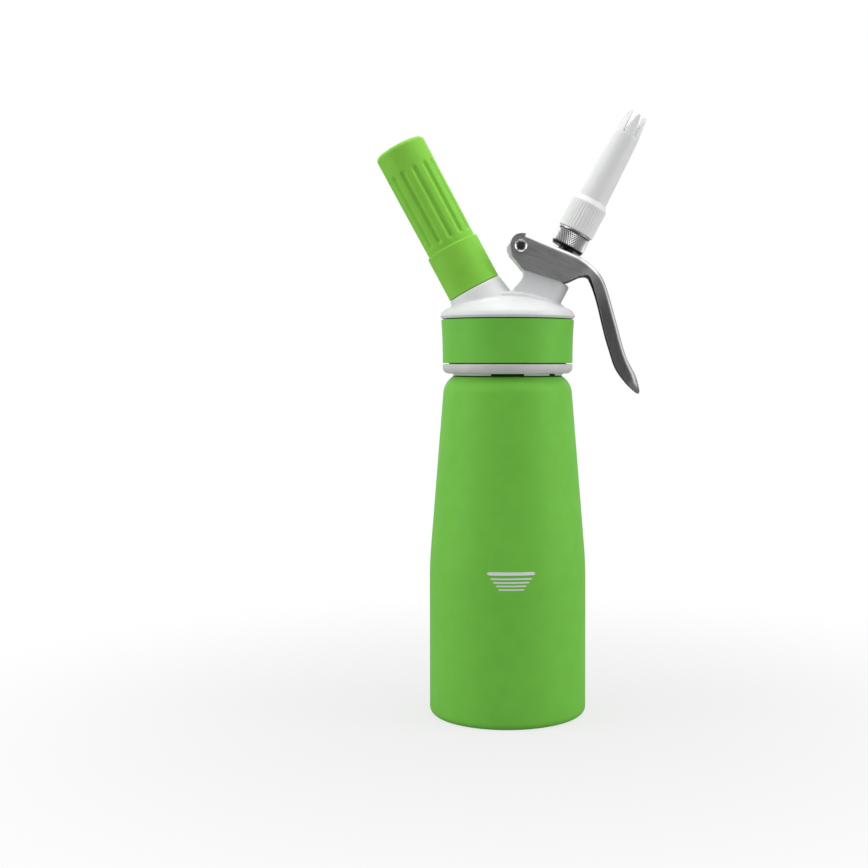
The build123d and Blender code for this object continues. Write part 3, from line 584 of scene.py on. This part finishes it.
def make_fill_mark():
    """Five printed bars that narrow downwards, a hair proud of the lacquer."""
    centre = radians(-90 + 2.6)
    # height, half width and thickness of each bar, in millimetres
    bars = [(73.2, 11.3, 1.5), (70.8, 9.95, 0.72), (69.1, 8.6, 0.72), (67.5, 7.26, 0.72), (65.8, 6.06, 0.72)]
    proud, sunk = 0.03 * mm, 0.2 * mm
    steps, corner_share = 24, 0.35
    vertices, faces = [], []
    for height, half, thick in bars:
        start = len(vertices)
        corner = corner_share * thick
        for step in range(steps + 1):
            along = -half + 2 * half * step / steps
            pinch = max(0.0, abs(along) - half + corner)
            reach = thick / 2 - (corner - sqrt(max(0.0, corner**2 - pinch**2)))
            turn = centre + along * mm / bottle_radius
            for depth in (proud, -sunk):
                for level in (reach, -reach):
                    level_z = (height + level) * mm
                    slim = max(0.0, level_z - straight_height) * tan(taper)
                    vertices.append(upright.place(turn, bottle_radius - slim + depth, level_z))
        for step in range(steps):
            a, b = start + 4 * step, start + 4 * step + 4
            for one, two in ((0, 1), (1, 3), (3, 2), (2, 0)):
                faces.append((a + one, a + two, b + two, b + one))
        last = start + 4 * steps
        faces += [(start, start + 2, start + 3, start + 1), (last, last + 1, last + 3, last + 2)]
    piece = mesh_piece("fill_mark", vertices, faces)
    fit(piece, BODY_OF["bottle"], print_white)


make_bottle()
make_fill_mark()


# ------------------------------------------------------------------ charger holder and port
def make_sleeve():
    """Soft green sleeve with round-ended flutes."""
    foot, step_z, top = 36.45 * mm, 59.35 * mm, 114.25 * mm
    ring, grip_base, grip_end = 13.3 * mm, 12.35 * mm, 12.7 * mm
    bore, wide_bore, bore_end = 11.0 * mm, 11.8 * mm, 112.55 * mm
    outline = rounded(
        [
            (0, bore_end),
            (bore, bore_end),
            (bore, 57.35 * mm),
            (wide_bore, 56.35 * mm),
            (wide_bore, foot),
            (ring, foot),
            (ring, step_z),
            (grip_base, step_z),
            (grip_end, top - 0.6 * mm),
            (0, top),
        ],
        [0, 3.0 * mm, 0, 0, 0.2 * mm, 0.4 * mm, 0.8 * mm, 0.3 * mm, 2.2 * mm, 0],
    )
    count, first, steps_each = 13, radians(-81.9), 26
    low, high = top - 52.5 * mm, top - 12.6 * mm
    depth, half, skin = 0.95 * mm, 2.0 * mm, 12 * mm

    def fluted(turn, radius, height):
        """Radius of the sleeve with the flutes pressed into it."""
        if radius < skin or height < step_z + 0.5 * mm:
            return radius
        nearest = ((turn - first) / (tau / count) + 0.5) % 1.0 - 0.5
        across = nearest * tau / count * radius
        beyond = max(0.0, low + half - height, height - high + half)
        share = hypot(across, beyond) / half
        return radius - depth * (1 - smoothed(share)) if share < 1 else radius

    def longest(here, there):
        """Short runs along the grip, where the flutes are, and long ones elsewhere."""
        is_grip = min(here[0], there[0]) > skin and min(here[1], there[1]) > step_z - 0.1 * mm
        return 0.5 * mm if is_grip else 20 * mm

    piece = lathe("fluted_sleeve", charger_line, refined(outline, longest), count * steps_each, fluted)
    fit(piece, BODY_OF["holder_sleeve"], sleeve_green, ["holder_sleeve"])


def make_port():
    """Port whose stud carries the holder's thread."""
    face, stud, shank, stud_top = 36.25 * mm, 10.0 * mm, 7.0 * mm, 49.25 * mm
    foot, shoulder = 27.0 * mm, 43.75 * mm
    pitch, depth = 2.25 * mm, 0.7 * mm
    bore, socket = 2.6 * mm, 4.75 * mm
    outline = rounded(
        [
            (bore, foot),
            (shank, foot),
            (shank, face),
            (stud, face),
            (stud, stud_top),
            (socket, stud_top),
            (socket, shoulder),
            (bore, shoulder),
        ],
        [0, 0, 0, 0.3 * mm, 0.8 * mm, 0.8 * mm, 0, 0],
    )

    def threaded(turn, radius, height):
        """Radius of the stud with the thread's grooves sunk into it."""
        if radius < stud - 0.01 * mm or height > stud_top - 0.9 * mm:
            return radius
        fade = smoothed((height - face - 1.2 * mm) / mm) * smoothed((stud_top - 1.0 * mm - height) / mm)
        return radius - depth * fade * thread_groove(height / pitch - turn / tau, 0.1, 0.2)

    piece = lathe("threaded_port", charger_line, divided(outline, 0.25 * mm), 144, threaded)
    fit(piece, BODY_OF["charger_port"], port_metal, ["charger_port"])


def make_lip():
    """Thin notched lip under the lower ring, just over the bottle's shoulder."""
    outer, inner, edge = 26.7 * mm, 25.3 * mm, 0.2 * mm
    top, clearance = 166.2 * mm, 0.3 * mm

    def floor(radius):
        """Height of the lip's underside, just over the shoulder."""
        return shoulder_z - (radius - neck_radius) * tan(shoulder_slope) + clearance

    # runs of the lip between its notches, in degrees round the bottle
    for start, end in ((-72.8, -42), (-31.6, 72.8), (107.2, 138), (148.4, 252.8)):
        steps = max(4, int((end - start) / 2))
        vertices, faces = [], []
        for step in range(steps + 1):
            turn = radians(start + (end - start) * step / steps)
            for radius, height in (
                (inner, top),
                (inner, floor(inner)),
                (outer - edge, floor(outer - edge)),
                (outer, floor(outer) + edge),
                (outer, top),
            ):
                vertices.append(upright.place(turn, radius, height))
        for step in range(steps):
            for one in range(5):
                two = (one + 1) % 5
                faces.append((5 * step + one, 5 * step + two, 5 * step + 5 + two, 5 * step + 5 + one))
        last = 5 * steps
        faces += [(4, 3, 2, 1, 0), tuple(range(last, last + 5))]
        piece = mesh_piece("ring_lip", vertices, faces)
        fit(piece, BODY_OF["lower_ring"], pale)


make_sleeve()
make_port()
make_lip()


# ------------------------------------------------------------------ adapter and decorator tip
def make_adapter():
    """Steel adapter with a diamond knurl between two plain edges."""
    columns, depth = 44, 0.42 * mm
    root, plain = adapter_radius - depth, 8.15 * mm
    spigot, spigot_top = 6.9 * mm, 77.45 * mm
    bore, stem_bore, stem_end = 2.6 * mm, 3.8 * mm, 67.15 * mm
    lower = [
        Vector((stem_bore, adapter_foot)),
        Vector((adapter_radius - 0.75 * mm, adapter_foot)),
        Vector((root, knurl_low - 0.1 * mm)),
    ]
    rings = [Vector((adapter_radius, knurl_low + row * knurl_row)) for row in range(knurl_rows + 1)]
    upper = rounded(
        [
            (root, knurl_high + 0.05 * mm),
            (plain, knurl_high + 0.2 * mm),
            (plain, adapter_top),
            (spigot, adapter_top),
            (spigot, spigot_top),
            (bore, spigot_top),
            (bore, stem_end),
            (stem_bore, stem_end),
        ],
        [0, 0.05 * mm, 0.2 * mm, 0, 0.8 * mm, 0.3 * mm, 0, 0],
        pieces=4,
    )

    def knurled(turn, reach, height):
        """Radius of the knurl: crests and roots take turns along its rows and columns."""
        if abs(reach - adapter_radius) > 0.01 * mm:
            return reach
        row = round((height - knurl_low) / knurl_row)
        column = round(turn / tau * 2 * columns)
        is_edge = row in (0, knurl_rows)
        return root if is_edge or (row + column) % 2 == 0 else adapter_radius

    first = len(lower)
    piece = lathe(
        "knurled_adapter",
        valve_line,
        lower + rings + upper,
        2 * columns,
        knurled,
        diamonds=range(first, first + knurl_rows),
        sharp=25,
    )
    fit(piece, BODY_OF["tip_adapter"], knurl_steel, ["tip_adapter"])


def wedge(name, turn, base, top, slim, wide, reach):
    """Upright wedge across the valve's axis, wider towards the top."""
    outwards = valve_line.start * cos(turn) + valve_line.side * sin(turn)
    aside = valve_line.direction.cross(outwards)
    vertices = []
    for side in (-reach, reach):
        for half, height in ((-slim, base), (slim, base), (wide, top), (-wide, top)):
            middle = valve_line.origin + outwards * half + valve_line.direction * height
            vertices.append(middle + aside * side)
    faces = [(0, 1, 2, 3), (4, 7, 6, 5), (0, 4, 5, 1), (1, 5, 6, 2), (2, 6, 7, 3), (3, 7, 4, 0)]
    return mesh_piece(name, vertices, faces)


def make_tip():
    """Decorator tip with a ribbed skirt and six slots."""
    foot, socket_end, skirt_top = 67.6 * mm, 77.95 * mm, 82.05 * mm
    neck, knee, end = 84.65 * mm, 119.65 * mm, 131.65 * mm
    skirt, socket, bore = 8.95 * mm, 7.2 * mm, 6.0 * mm
    outline = rounded(
        [
            (socket, foot),
            (skirt, foot),
            (skirt, skirt_top),
            (7.4 * mm, neck),
            (6.25 * mm, knee),
            (4.75 * mm, end),
            (3.35 * mm, end),
            (4.85 * mm, knee),
            (bore, neck),
            (bore, socket_end),
            (socket, socket_end),
        ],
        [0.2 * mm, 0.3 * mm, 0.5 * mm, 1.5 * mm, 4.0 * mm, 0.65 * mm, 0.65 * mm, 0, 0, 0, 0],
    )
    ribs, rib_depth = 36, 0.26 * mm

    def ribbed(turn, radius, height):
        """Radius of the skirt with the furrows between its ribs."""
        if radius < skirt - 0.1 * mm or height > skirt_top - 0.4 * mm:
            return radius
        rise = 0.6 * mm
        fade = smoothed((height - foot - 0.5 * mm) / rise)
        fade *= smoothed((skirt_top - 0.9 * mm - height) / rise)
        wave = 0.5 - 0.5 * cos(ribs * turn)
        return radius - rib_depth * fade * (1 - sqrt(wave))

    piece = lathe("ribbed_tip", valve_line, divided(outline, 1.0 * mm), ribs * 8, ribbed)
    slot_base, slot_turn = end - 11.1 * mm, radians(36.8)
    slim, wide, reach = 0.45 * mm, 1.92 * mm, 9 * mm
    knives = []
    for pair in range(3):
        turn = slot_turn + pi * pair / 3
        knives.append(wedge(f"slot_knife_{pair}", turn, slot_base, end + mm, slim, wide, reach))
    cut(piece, knives)
    piece.data.set_sharp_from_angle(angle=radians(35))
    fit(piece, BODY_OF["decorator_tip"], tip_white, ["decorator_tip"])


make_adapter()
make_tip()


# ------------------------------------------------------------------ hinge pin
def make_pin():
    """Hollow pin with a bright rounded head and a cup that carries painted shade."""
    head, end, far = 12.2 * mm, 13.6 * mm, -12.2 * mm
    cup_base, bore_end = 12.4 * mm, -3.2 * mm
    head_radius, shank, bore = 3.05 * mm, 2.4 * mm, 1.5 * mm
    outline = rounded(
        [
            (0, cup_base),
            (2.05 * mm, cup_base),
            (2.15 * mm, 12.98 * mm),
            (2.85 * mm, end),
            (head_radius, end),
            (head_radius, head),
            (shank, head),
            (shank, far),
            (bore, far),
            (bore, bore_end),
            (0, bore_end),
        ],
        [0, 0.4 * mm, 0.1 * mm, 0.15 * mm, 0.25 * mm, 0.1 * mm, 0, 0, 0, 0, 0],
    )
    piece = lathe("cupped_pin", hinge_line, outline, 72)
    fit(piece, BODY_OF["hinge_pin"], pin_steel, ["hinge_pin"])


make_pin()


# ------------------------------------------------------------------ lever
# Side outline in millimetres from the hinge, towards +X and up
plate_run = Vector((cos(plate_turn), -sin(plate_turn)))
plate_square = Vector((sin(plate_turn), cos(plate_turn)))
plate_rise = 6.39
plate_length = 27.7
nose_brow = [(-4.9, 0), (-4.95, 1.5), (-4.5, 3.0), (-3.6, 4.4), (-2.2, 5.5), (-0.5, 6.0), (1.2, 6.1)]
handle_back = [(37.6, -12.8), (41.5, -20.2), (46.0, -35.6), (51.0, -53.0), (56.0, -62.9), (57.7, -69.4)]
handle_front = [(52.0, -66.5), (46.5, -59.0), (43.5, -50.5), (41.0, -42.1), (36.6, -24.2), (33.4, -14.9)]
cheek_edge = [(31.9, -13.9), (28.4, -14.2), (23.8, -16.4), (20.5, -17.1), (10.6, -14.4), (0.9, -11.4)]
lever_heel = (-4.1, -4.8)
lever_tip = (57.0, -71.4)
lever_back_end = (57.6, -70.9)
narrow_start, narrow_run, end_start = 26, 24, 84.5


def curve_through(points, count, start=None, end=None):
    """A smooth run through points, count places to each span."""
    spots = [Vector(point) for point in points]
    first = spots[0] - Vector(start) if start else spots[0] * 2 - spots[1]
    last = spots[-1] + Vector(end) if end else spots[-1] * 2 - spots[-2]
    spots = [first, *spots, last]
    run = []
    for a, b, c, d in zip(spots, spots[1:], spots[2:], spots[3:]):
        span = (c - b).length
        out = (c - a) * span / max((c - b).length + (b - a).length, 1e-9)
        into = (d - b) * span / max((d - c).length + (c - b).length, 1e-9)
        for step in range(count):
            t = step / count
            run.append(
                b * (2 * t**3 - 3 * t**2 + 1)
                + out * (t**3 - 2 * t**2 + t)
                + c * (3 * t**2 - 2 * t**3)
                + into * (t**3 - t**2)
            )
    return run + [spots[-2]]


def crossing_reach(spot, way, line):
    """Distance from a spot along a way to the nearest crossing of a line of points."""
    best = None
    for here, there in zip(line, line[1:]):
        side = there - here
        turn = way.x * side.y - way.y * side.x
        if abs(turn) < 1e-9:
            continue
        gap = here - spot
        reach = (gap.x * side.y - gap.y * side.x) / turn
        share = (gap.x * way.y - gap.y * way.x) / turn
        if reach > 0 and -1e-6 <= share <= 1 + 1e-6 and (best is None or reach < best):
            best = reach
    return best


def half_width(spot):
    """Half width of the lever at a place in its side outline, in millimetres: wide at the cheeks, slim
    at the handle and round at its end."""
    wide, slim, least = cheek_outer / mm, handle_half / mm, 0.3
    station = spot.x * cos(bend_turn) - spot.y * sin(bend_turn)
    if station > end_start:
        return sqrt(max(least**2, slim**2 - (station - end_start) ** 2))
    return wide - (wide - slim) * smoothed((station - narrow_start) / narrow_run)


def rod_outline(radius, low, high):
    return [(0, low), (radius, low), (radius, high), (0, high)]


def make_lever():
    """Folded sheet lever: plate, bend and handle as one channel, with cheeks round the hinge."""
    plate_start = plate_square * plate_rise
    plate_end = plate_start + plate_run * plate_length
    count = 14
    back = [plate_start.lerp(plate_end, step / count) for step in range(count)]
    back += curve_through([plate_end, *handle_back, lever_back_end], 8, start=plate_run * 12)
    front = curve_through([lever_tip, *handle_front, *cheek_edge], 6)
    front += [Vector(lever_heel), Vector((-4.9, 0))]
    wall_rows, fold_rows, flat_rows = 12, 6, 5
    # counted in columns from the handle's end: its tip, and where its fold starts to soften
    tip_columns, soft_start, soft_run = 14, 26, 22
    least_reach, soft_fold = 0.5, 5.5
    columns, depths = [], []
    for index, spot in enumerate(back):
        before, after = back[max(index - 1, 0)], back[min(index + 1, len(back) - 1)]
        run = (after - before).normalized()
        way = Vector((run.y, -run.x))
        reach = max(least_reach, crossing_reach(spot, way, front) or least_reach)
        width = half_width(spot)
        softness = smoothed((index - len(back) + soft_start) / soft_run)
        fold = fold_radius / mm * (1 - softness) + soft_fold * softness
        bend = min(fold, width * 0.95, reach * 0.75)
        column = []
        for row in range(flat_rows):
            column.append((spot, (width - bend) * row / flat_rows))
        for row in range(fold_rows + 1):
            turn = pi / 2 * row / fold_rows
            column.append((spot + way * bend * (1 - cos(turn)), width - bend + bend * sin(turn)))
        for row in range(1, wall_rows + 1):
            place = spot + way * (bend + (reach - bend) * row / wall_rows)
            is_tip = index >= len(back) - tip_columns
            column.append((place, width if is_tip else min(width, half_width(place))))
        columns.append(column)
        depths.append(reach)
    # cheeks in front of the plate, round the hinge
    rows = wall_rows + 1
    wall_top = flat_rows + fold_rows
    low = columns[0][-1][0]
    tops = curve_through([plate_start, *[Vector(spot) for spot in reversed(nose_brow)]], 3)
    heel_run = [low, Vector(lever_heel), Vector(nose_brow[0])]
    lengths = [(b - a).length for a, b in zip(heel_run, heel_run[1:])]
    nose_columns = []
    for index, top in enumerate(tops):
        travelled = sum(lengths) * index / (len(tops) - 1)
        foot = (
            heel_run[0].lerp(heel_run[1], travelled / lengths[0])
            if travelled < lengths[0]
            else heel_run[1].lerp(heel_run[2], min(1.0, (travelled - lengths[0]) / lengths[1]))
        )
        share = (columns[0][wall_top][0] - columns[0][0][0]).length / depths[0]
        spread = [0.0] + [share + (1 - share) * row / wall_rows for row in range(rows)]
        nose_columns.append([(top.lerp(foot, part), cheek_outer / mm) for part in spread])

    vertices, faces, slim = [], [], []

    def grid(block, side, is_open_top):
        start = len(vertices)
        size = len(block[0])
        for index, column in enumerate(block):
            for place, width in column:
                vertices.append((hinge.x + place.x * mm, side * width * mm, hinge.z + place.y * mm))
                slim.append(1.0 if is_open_top else smoothed((len(block) - 1 - index) / 10))
        for one in range(len(block) - 1):
            for two in range(size - 1):
                a = start + one * size + two
                faces.append((a, a + 1, a + size + 1, a + size))

    for side in (-1, 1):
        grid(columns, side, False)
        grid(nose_columns, side, True)
    mesh = bpy.data.meshes.new("folded_lever")
    mesh.from_pydata(vertices, [], faces)
    shape = bmesh.new()
    shape.from_mesh(mesh)
    sheet_share = shape.verts.layers.deform.verify()
    for vertex, share in zip(shape.verts, slim):
        vertex[sheet_share][0] = share
    bmesh.ops.remove_doubles(shape, verts=shape.verts, dist=0.01 * mm)
    bmesh.ops.recalc_face_normals(shape, faces=shape.faces)
    # the surface is open, so its outward side is read from its topmost face
    top_face = max(shape.faces, key=lambda face: face.calc_center_median().z)
    if top_face.normal.z < 0:
        bmesh.ops.reverse_faces(shape, faces=shape.faces)
    shape.to_mesh(mesh)
    shape.free()
    piece = add_object("folded_lever", mesh)
    piece.vertex_groups.new(name="sheet")
    thick = piece.modifiers.new("sheet", "SOLIDIFY")
    thick.thickness = sheet
    thick.offset = -1
    thick.use_even_offset = True
    thick.vertex_group = "sheet"
    thick.thickness_vertex_group = 0.3
    apply_all(piece)
    # stem hole and hinge holes
    stem_reach = 19.9
    centre = plate_run * stem_reach + plate_square * plate_rise
    hole = Spindle(
        (hinge.x + centre.x * mm, 0, hinge.z + centre.y * mm),
        (plate_square.x, 0, plate_square.y),
        (plate_run.x, 0, plate_run.y),
    )
    stem_knife = lathe("stem_knife", hole, rod_outline(4.9 * mm, -4 * mm, 4 * mm), 96)
    pin_knife = lathe("pin_knife", hinge_line, rod_outline(2.5 * mm, -20 * mm, 20 * mm), 64)
    cut(piece, [stem_knife, pin_knife])
    shade_smooth(piece.data, 32)
    fit(piece, BODY_OF["lever"], brushed, ["lever"])


make_lever()


# ------------------------------------------------------------------ head
def make_head():
    """White moulded head, rounded where its saddle and its turrets run into the dome."""
    dome_top, dome_fall, dome_reach = 203.3 * mm, 6.3 * mm, 28.7 * mm
    solid = nodes["head_body"]
    piece = add_object("moulded_head", solid.data.copy())
    even = piece.modifiers.new("even_skin", "REMESH")
    even.mode = "VOXEL"
    even.voxel_size = 0.42 * mm
    apply_all(piece)

    def softness(spot):
        """One on the outer skin near the dome, nothing in the bores, the socket and the hinge lug."""
        dome = dome_top - dome_fall * (hypot(spot.x, spot.y) / dome_reach) ** 2
        outside = smoothed((spot.z - dome + 0.9 * mm) / (0.6 * mm))
        low = smoothed((spot.z - 196.5 * mm) / mm) * (1 - smoothed((spot.z - 208 * mm) / (5 * mm)))
        for line, clear in ((valve_line, 8.3 * mm), (charger_line, 9.5 * mm)):
            reach = (spot - line.origin).cross(line.direction).length
            outside *= smoothed((reach - clear) / (0.5 * mm))
        return outside * low

    soft = piece.vertex_groups.new(name="soft")
    firm = piece.vertex_groups.new(name="firm")
    for vertex in piece.data.vertices:
        share = softness(vertex.co)
        soft.add([vertex.index], share, "REPLACE")
        firm.add([vertex.index], 1 - share, "REPLACE")
    seat = piece.modifiers.new("seat", "SHRINKWRAP")
    seat.target = solid
    seat.wrap_method = "NEAREST_SURFACEPOINT"
    seat.vertex_group = firm.name
    rounding = piece.modifiers.new("rounding", "SMOOTH")
    rounding.vertex_group = soft.name
    rounding.factor = 0.5
    rounding.iterations = 9
    apply_all(piece)
    piece.vertex_groups.clear()
    # the rim's two turned edges are drawn crisp again
    near = 0.24 * mm
    for radius, height in ((32.8 * mm, 193.0 * mm), (31.9 * mm, 191.9 * mm)):
        for vertex in piece.data.vertices:
            reach = hypot(vertex.co.x, vertex.co.y)
            if abs(reach - radius) < near and abs(vertex.co.z - height) < near:
                vertex.co = (vertex.co.x * radius / reach, vertex.co.y * radius / reach, height)
    shade_smooth(piece.data, 40)
    fit(piece, BODY_OF["head_body"], head_white, ["head_body"])


def make_spring():
    """Valve spring, copied from its solid onto a mesh of its own; it doesn't shorten here as the lever
    pushes the collar down.
    """
    seat, collar, travel = 30.0 * mm, 51.43 * mm, 3.46 * mm
    piece = add_object("spring_coil", nodes["valve_spring"].data.copy())
    fit(piece, BODY_OF["valve_spring"], turned, ["valve_spring"])
    tuple(valve_line.place(0, 0, seat))
    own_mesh(piece)


make_head()
make_spring()


# ------------------------------------------------------------------ carried-over solids
carried = {
    "lower_ring": pale,
    "grip_band": band_green,
    "head_gasket": seal,
    "piercing_pin": charger_steel,
    "piercing_seal": seal,
    "check_valve": seal,
    "hinge_screw": pin_steel,
    "valve_stem": polished,
    "valve_seal": seal,
    "stem_o_rings": seal,
    "stem_collar": white,
    "adapter_gasket": seal,
    "gas_charger": charger_steel,
    "holder_shell": shell_metal,
}
for node, finish in carried.items():
    nodes[node].data.materials.clear()
    nodes[node].data.materials.append(finish.material)


# ------------------------------------------------------------------ stage
def make_floor():
    """Pale floor that keeps the object's shadow."""
    reach = 3.0
    corners = [(-reach, -reach, 0), (reach, -reach, 0), (reach, reach, 0), (-reach, reach, 0)]
    floor = mesh_piece("floor", corners, [(0, 1, 2, 3)])
    finish = Finish("floor_paint", Roughness=0.9)
    finish.colour(finish.mix(finish.noise(0.3), (0.5, 0.5, 0.5, 1), (0.52, 0.52, 0.52, 1)))
    # lit by the lamps near the object, and an even white to the eye far from it
    near_share, fade_start, fade_end = 0.76, 0.05, 0.35
    seen = finish.node("ShaderNodeLightPath", {}, {}, output="Is Camera Ray")
    away = finish.vector("LENGTH", finish.place, output="Value").step(fade_start, fade_end)
    share = seen * (near_share + away * (1 - near_share))
    lit = Channel(finish, finish.shader.outputs[0])
    glow = finish.node("ShaderNodeEmission", {}, {"Color": (1, 1, 1, 1), "Strength": 1.0})
    shown = finish.node("ShaderNodeMixShader", {}, {0: share, 1: lit, 2: glow})
    finish.feed(finish.tree.nodes["Material Output"].inputs[0], shown)
    floor.data.materials.append(finish.material)


def make_card():
    """Dark card behind the camera that only the glossy surfaces see."""
    half, low, high, back = 1.3, 0.0, 1.3, -1.6
    corners = [(-half, back, low), (half, back, low), (half, back, high), (-half, back, high)]
    card = mesh_piece("dark_card", corners, [(0, 1, 2, 3)])
    finish = Finish("card_paint", Roughness=0.9)
    finish.colour(finish.mix(finish.noise(0.3), (0.12, 0.12, 0.12, 1), (0.13, 0.13, 0.13, 1)))
    card.data.materials.append(finish.material)
    card.visible_camera = card.visible_diffuse = card.visible_shadow = card.visible_transmission = False


def make_world():
    """White to the eye and in reflections, and softer as light on the object."""
    world = bpy.data.worlds.new("studio")
    bpy.context.scene.world = world
    world.use_nodes = True
    world.node_tree.nodes.clear()
    studio = Shading(world.node_tree)
    eye, gloss, glass = (
        studio.node("ShaderNodeLightPath", {}, {}, output=f"Is {ray} Ray")
        for ray in ("Camera", "Glossy", "Transmission")
    )
    seen = eye.maths("MAXIMUM", eye, eye.maths("MAXIMUM", gloss, glass))
    backgrounds = [
        studio.node("ShaderNodeBackground", {}, {"Color": (1, 1, 1, 1), "Strength": strength})
        for strength in (0.3, 1.0)
    ]
    shown = studio.node("ShaderNodeMixShader", {}, {0: seen, 1: backgrounds[0], 2: backgrounds[1]})
    studio.node("ShaderNodeOutputWorld", {}, {0: shown})


def make_lamp(name, place, target, wide, tall, power):
    """Soft rectangular lamp that faces a target."""
    light = bpy.data.lights.new(name, "AREA")
    light.shape = "RECTANGLE"
    light.size, light.size_y = wide, tall
    light.energy = power
    lamp = add_object(name, light)
    lamp.location = place
    lamp.rotation_euler = (Vector(target) - Vector(place)).to_track_quat("-Z", "Y").to_euler()


def make_camera():
    """Camera in front of the plane of symmetry, tipped a little down; its shift frames the object."""
    frame_pixels, sensor = 868, 36.0
    distance, height, tip_down = 0.660, 0.1719, radians(1.478)
    focal_pixels = 1354.1
    middle_column, middle_row = 507.6, 395.0
    data = bpy.data.cameras.new("camera")
    data.sensor_width = sensor
    data.lens = focal_pixels / frame_pixels * sensor
    data.shift_x = (frame_pixels / 2 - middle_column) / frame_pixels
    data.shift_y = (middle_row - frame_pixels / 2) / frame_pixels
    data.clip_start, data.clip_end = 0.01, 20
    camera = add_object("camera", data)
    camera.location = (0, -distance, height)
    camera.rotation_euler = (radians(90) - tip_down, 0, 0)
    bpy.context.scene.camera = camera


make_floor()
make_card()
make_world()
middle = (0, 0, 0.14)
make_lamp("top_lamp", (0.0, -0.03, 1.0), middle, 0.7, 0.7, 4.7)
make_lamp("left_lamp", (-0.85, -0.22, 0.45), middle, 0.4, 0.9, 3.3)
make_lamp("right_lamp", (0.85, -0.22, 0.45), middle, 0.4, 0.9, 3.5)
make_camera()
bpy.context.scene.view_settings.view_transform = "Standard"
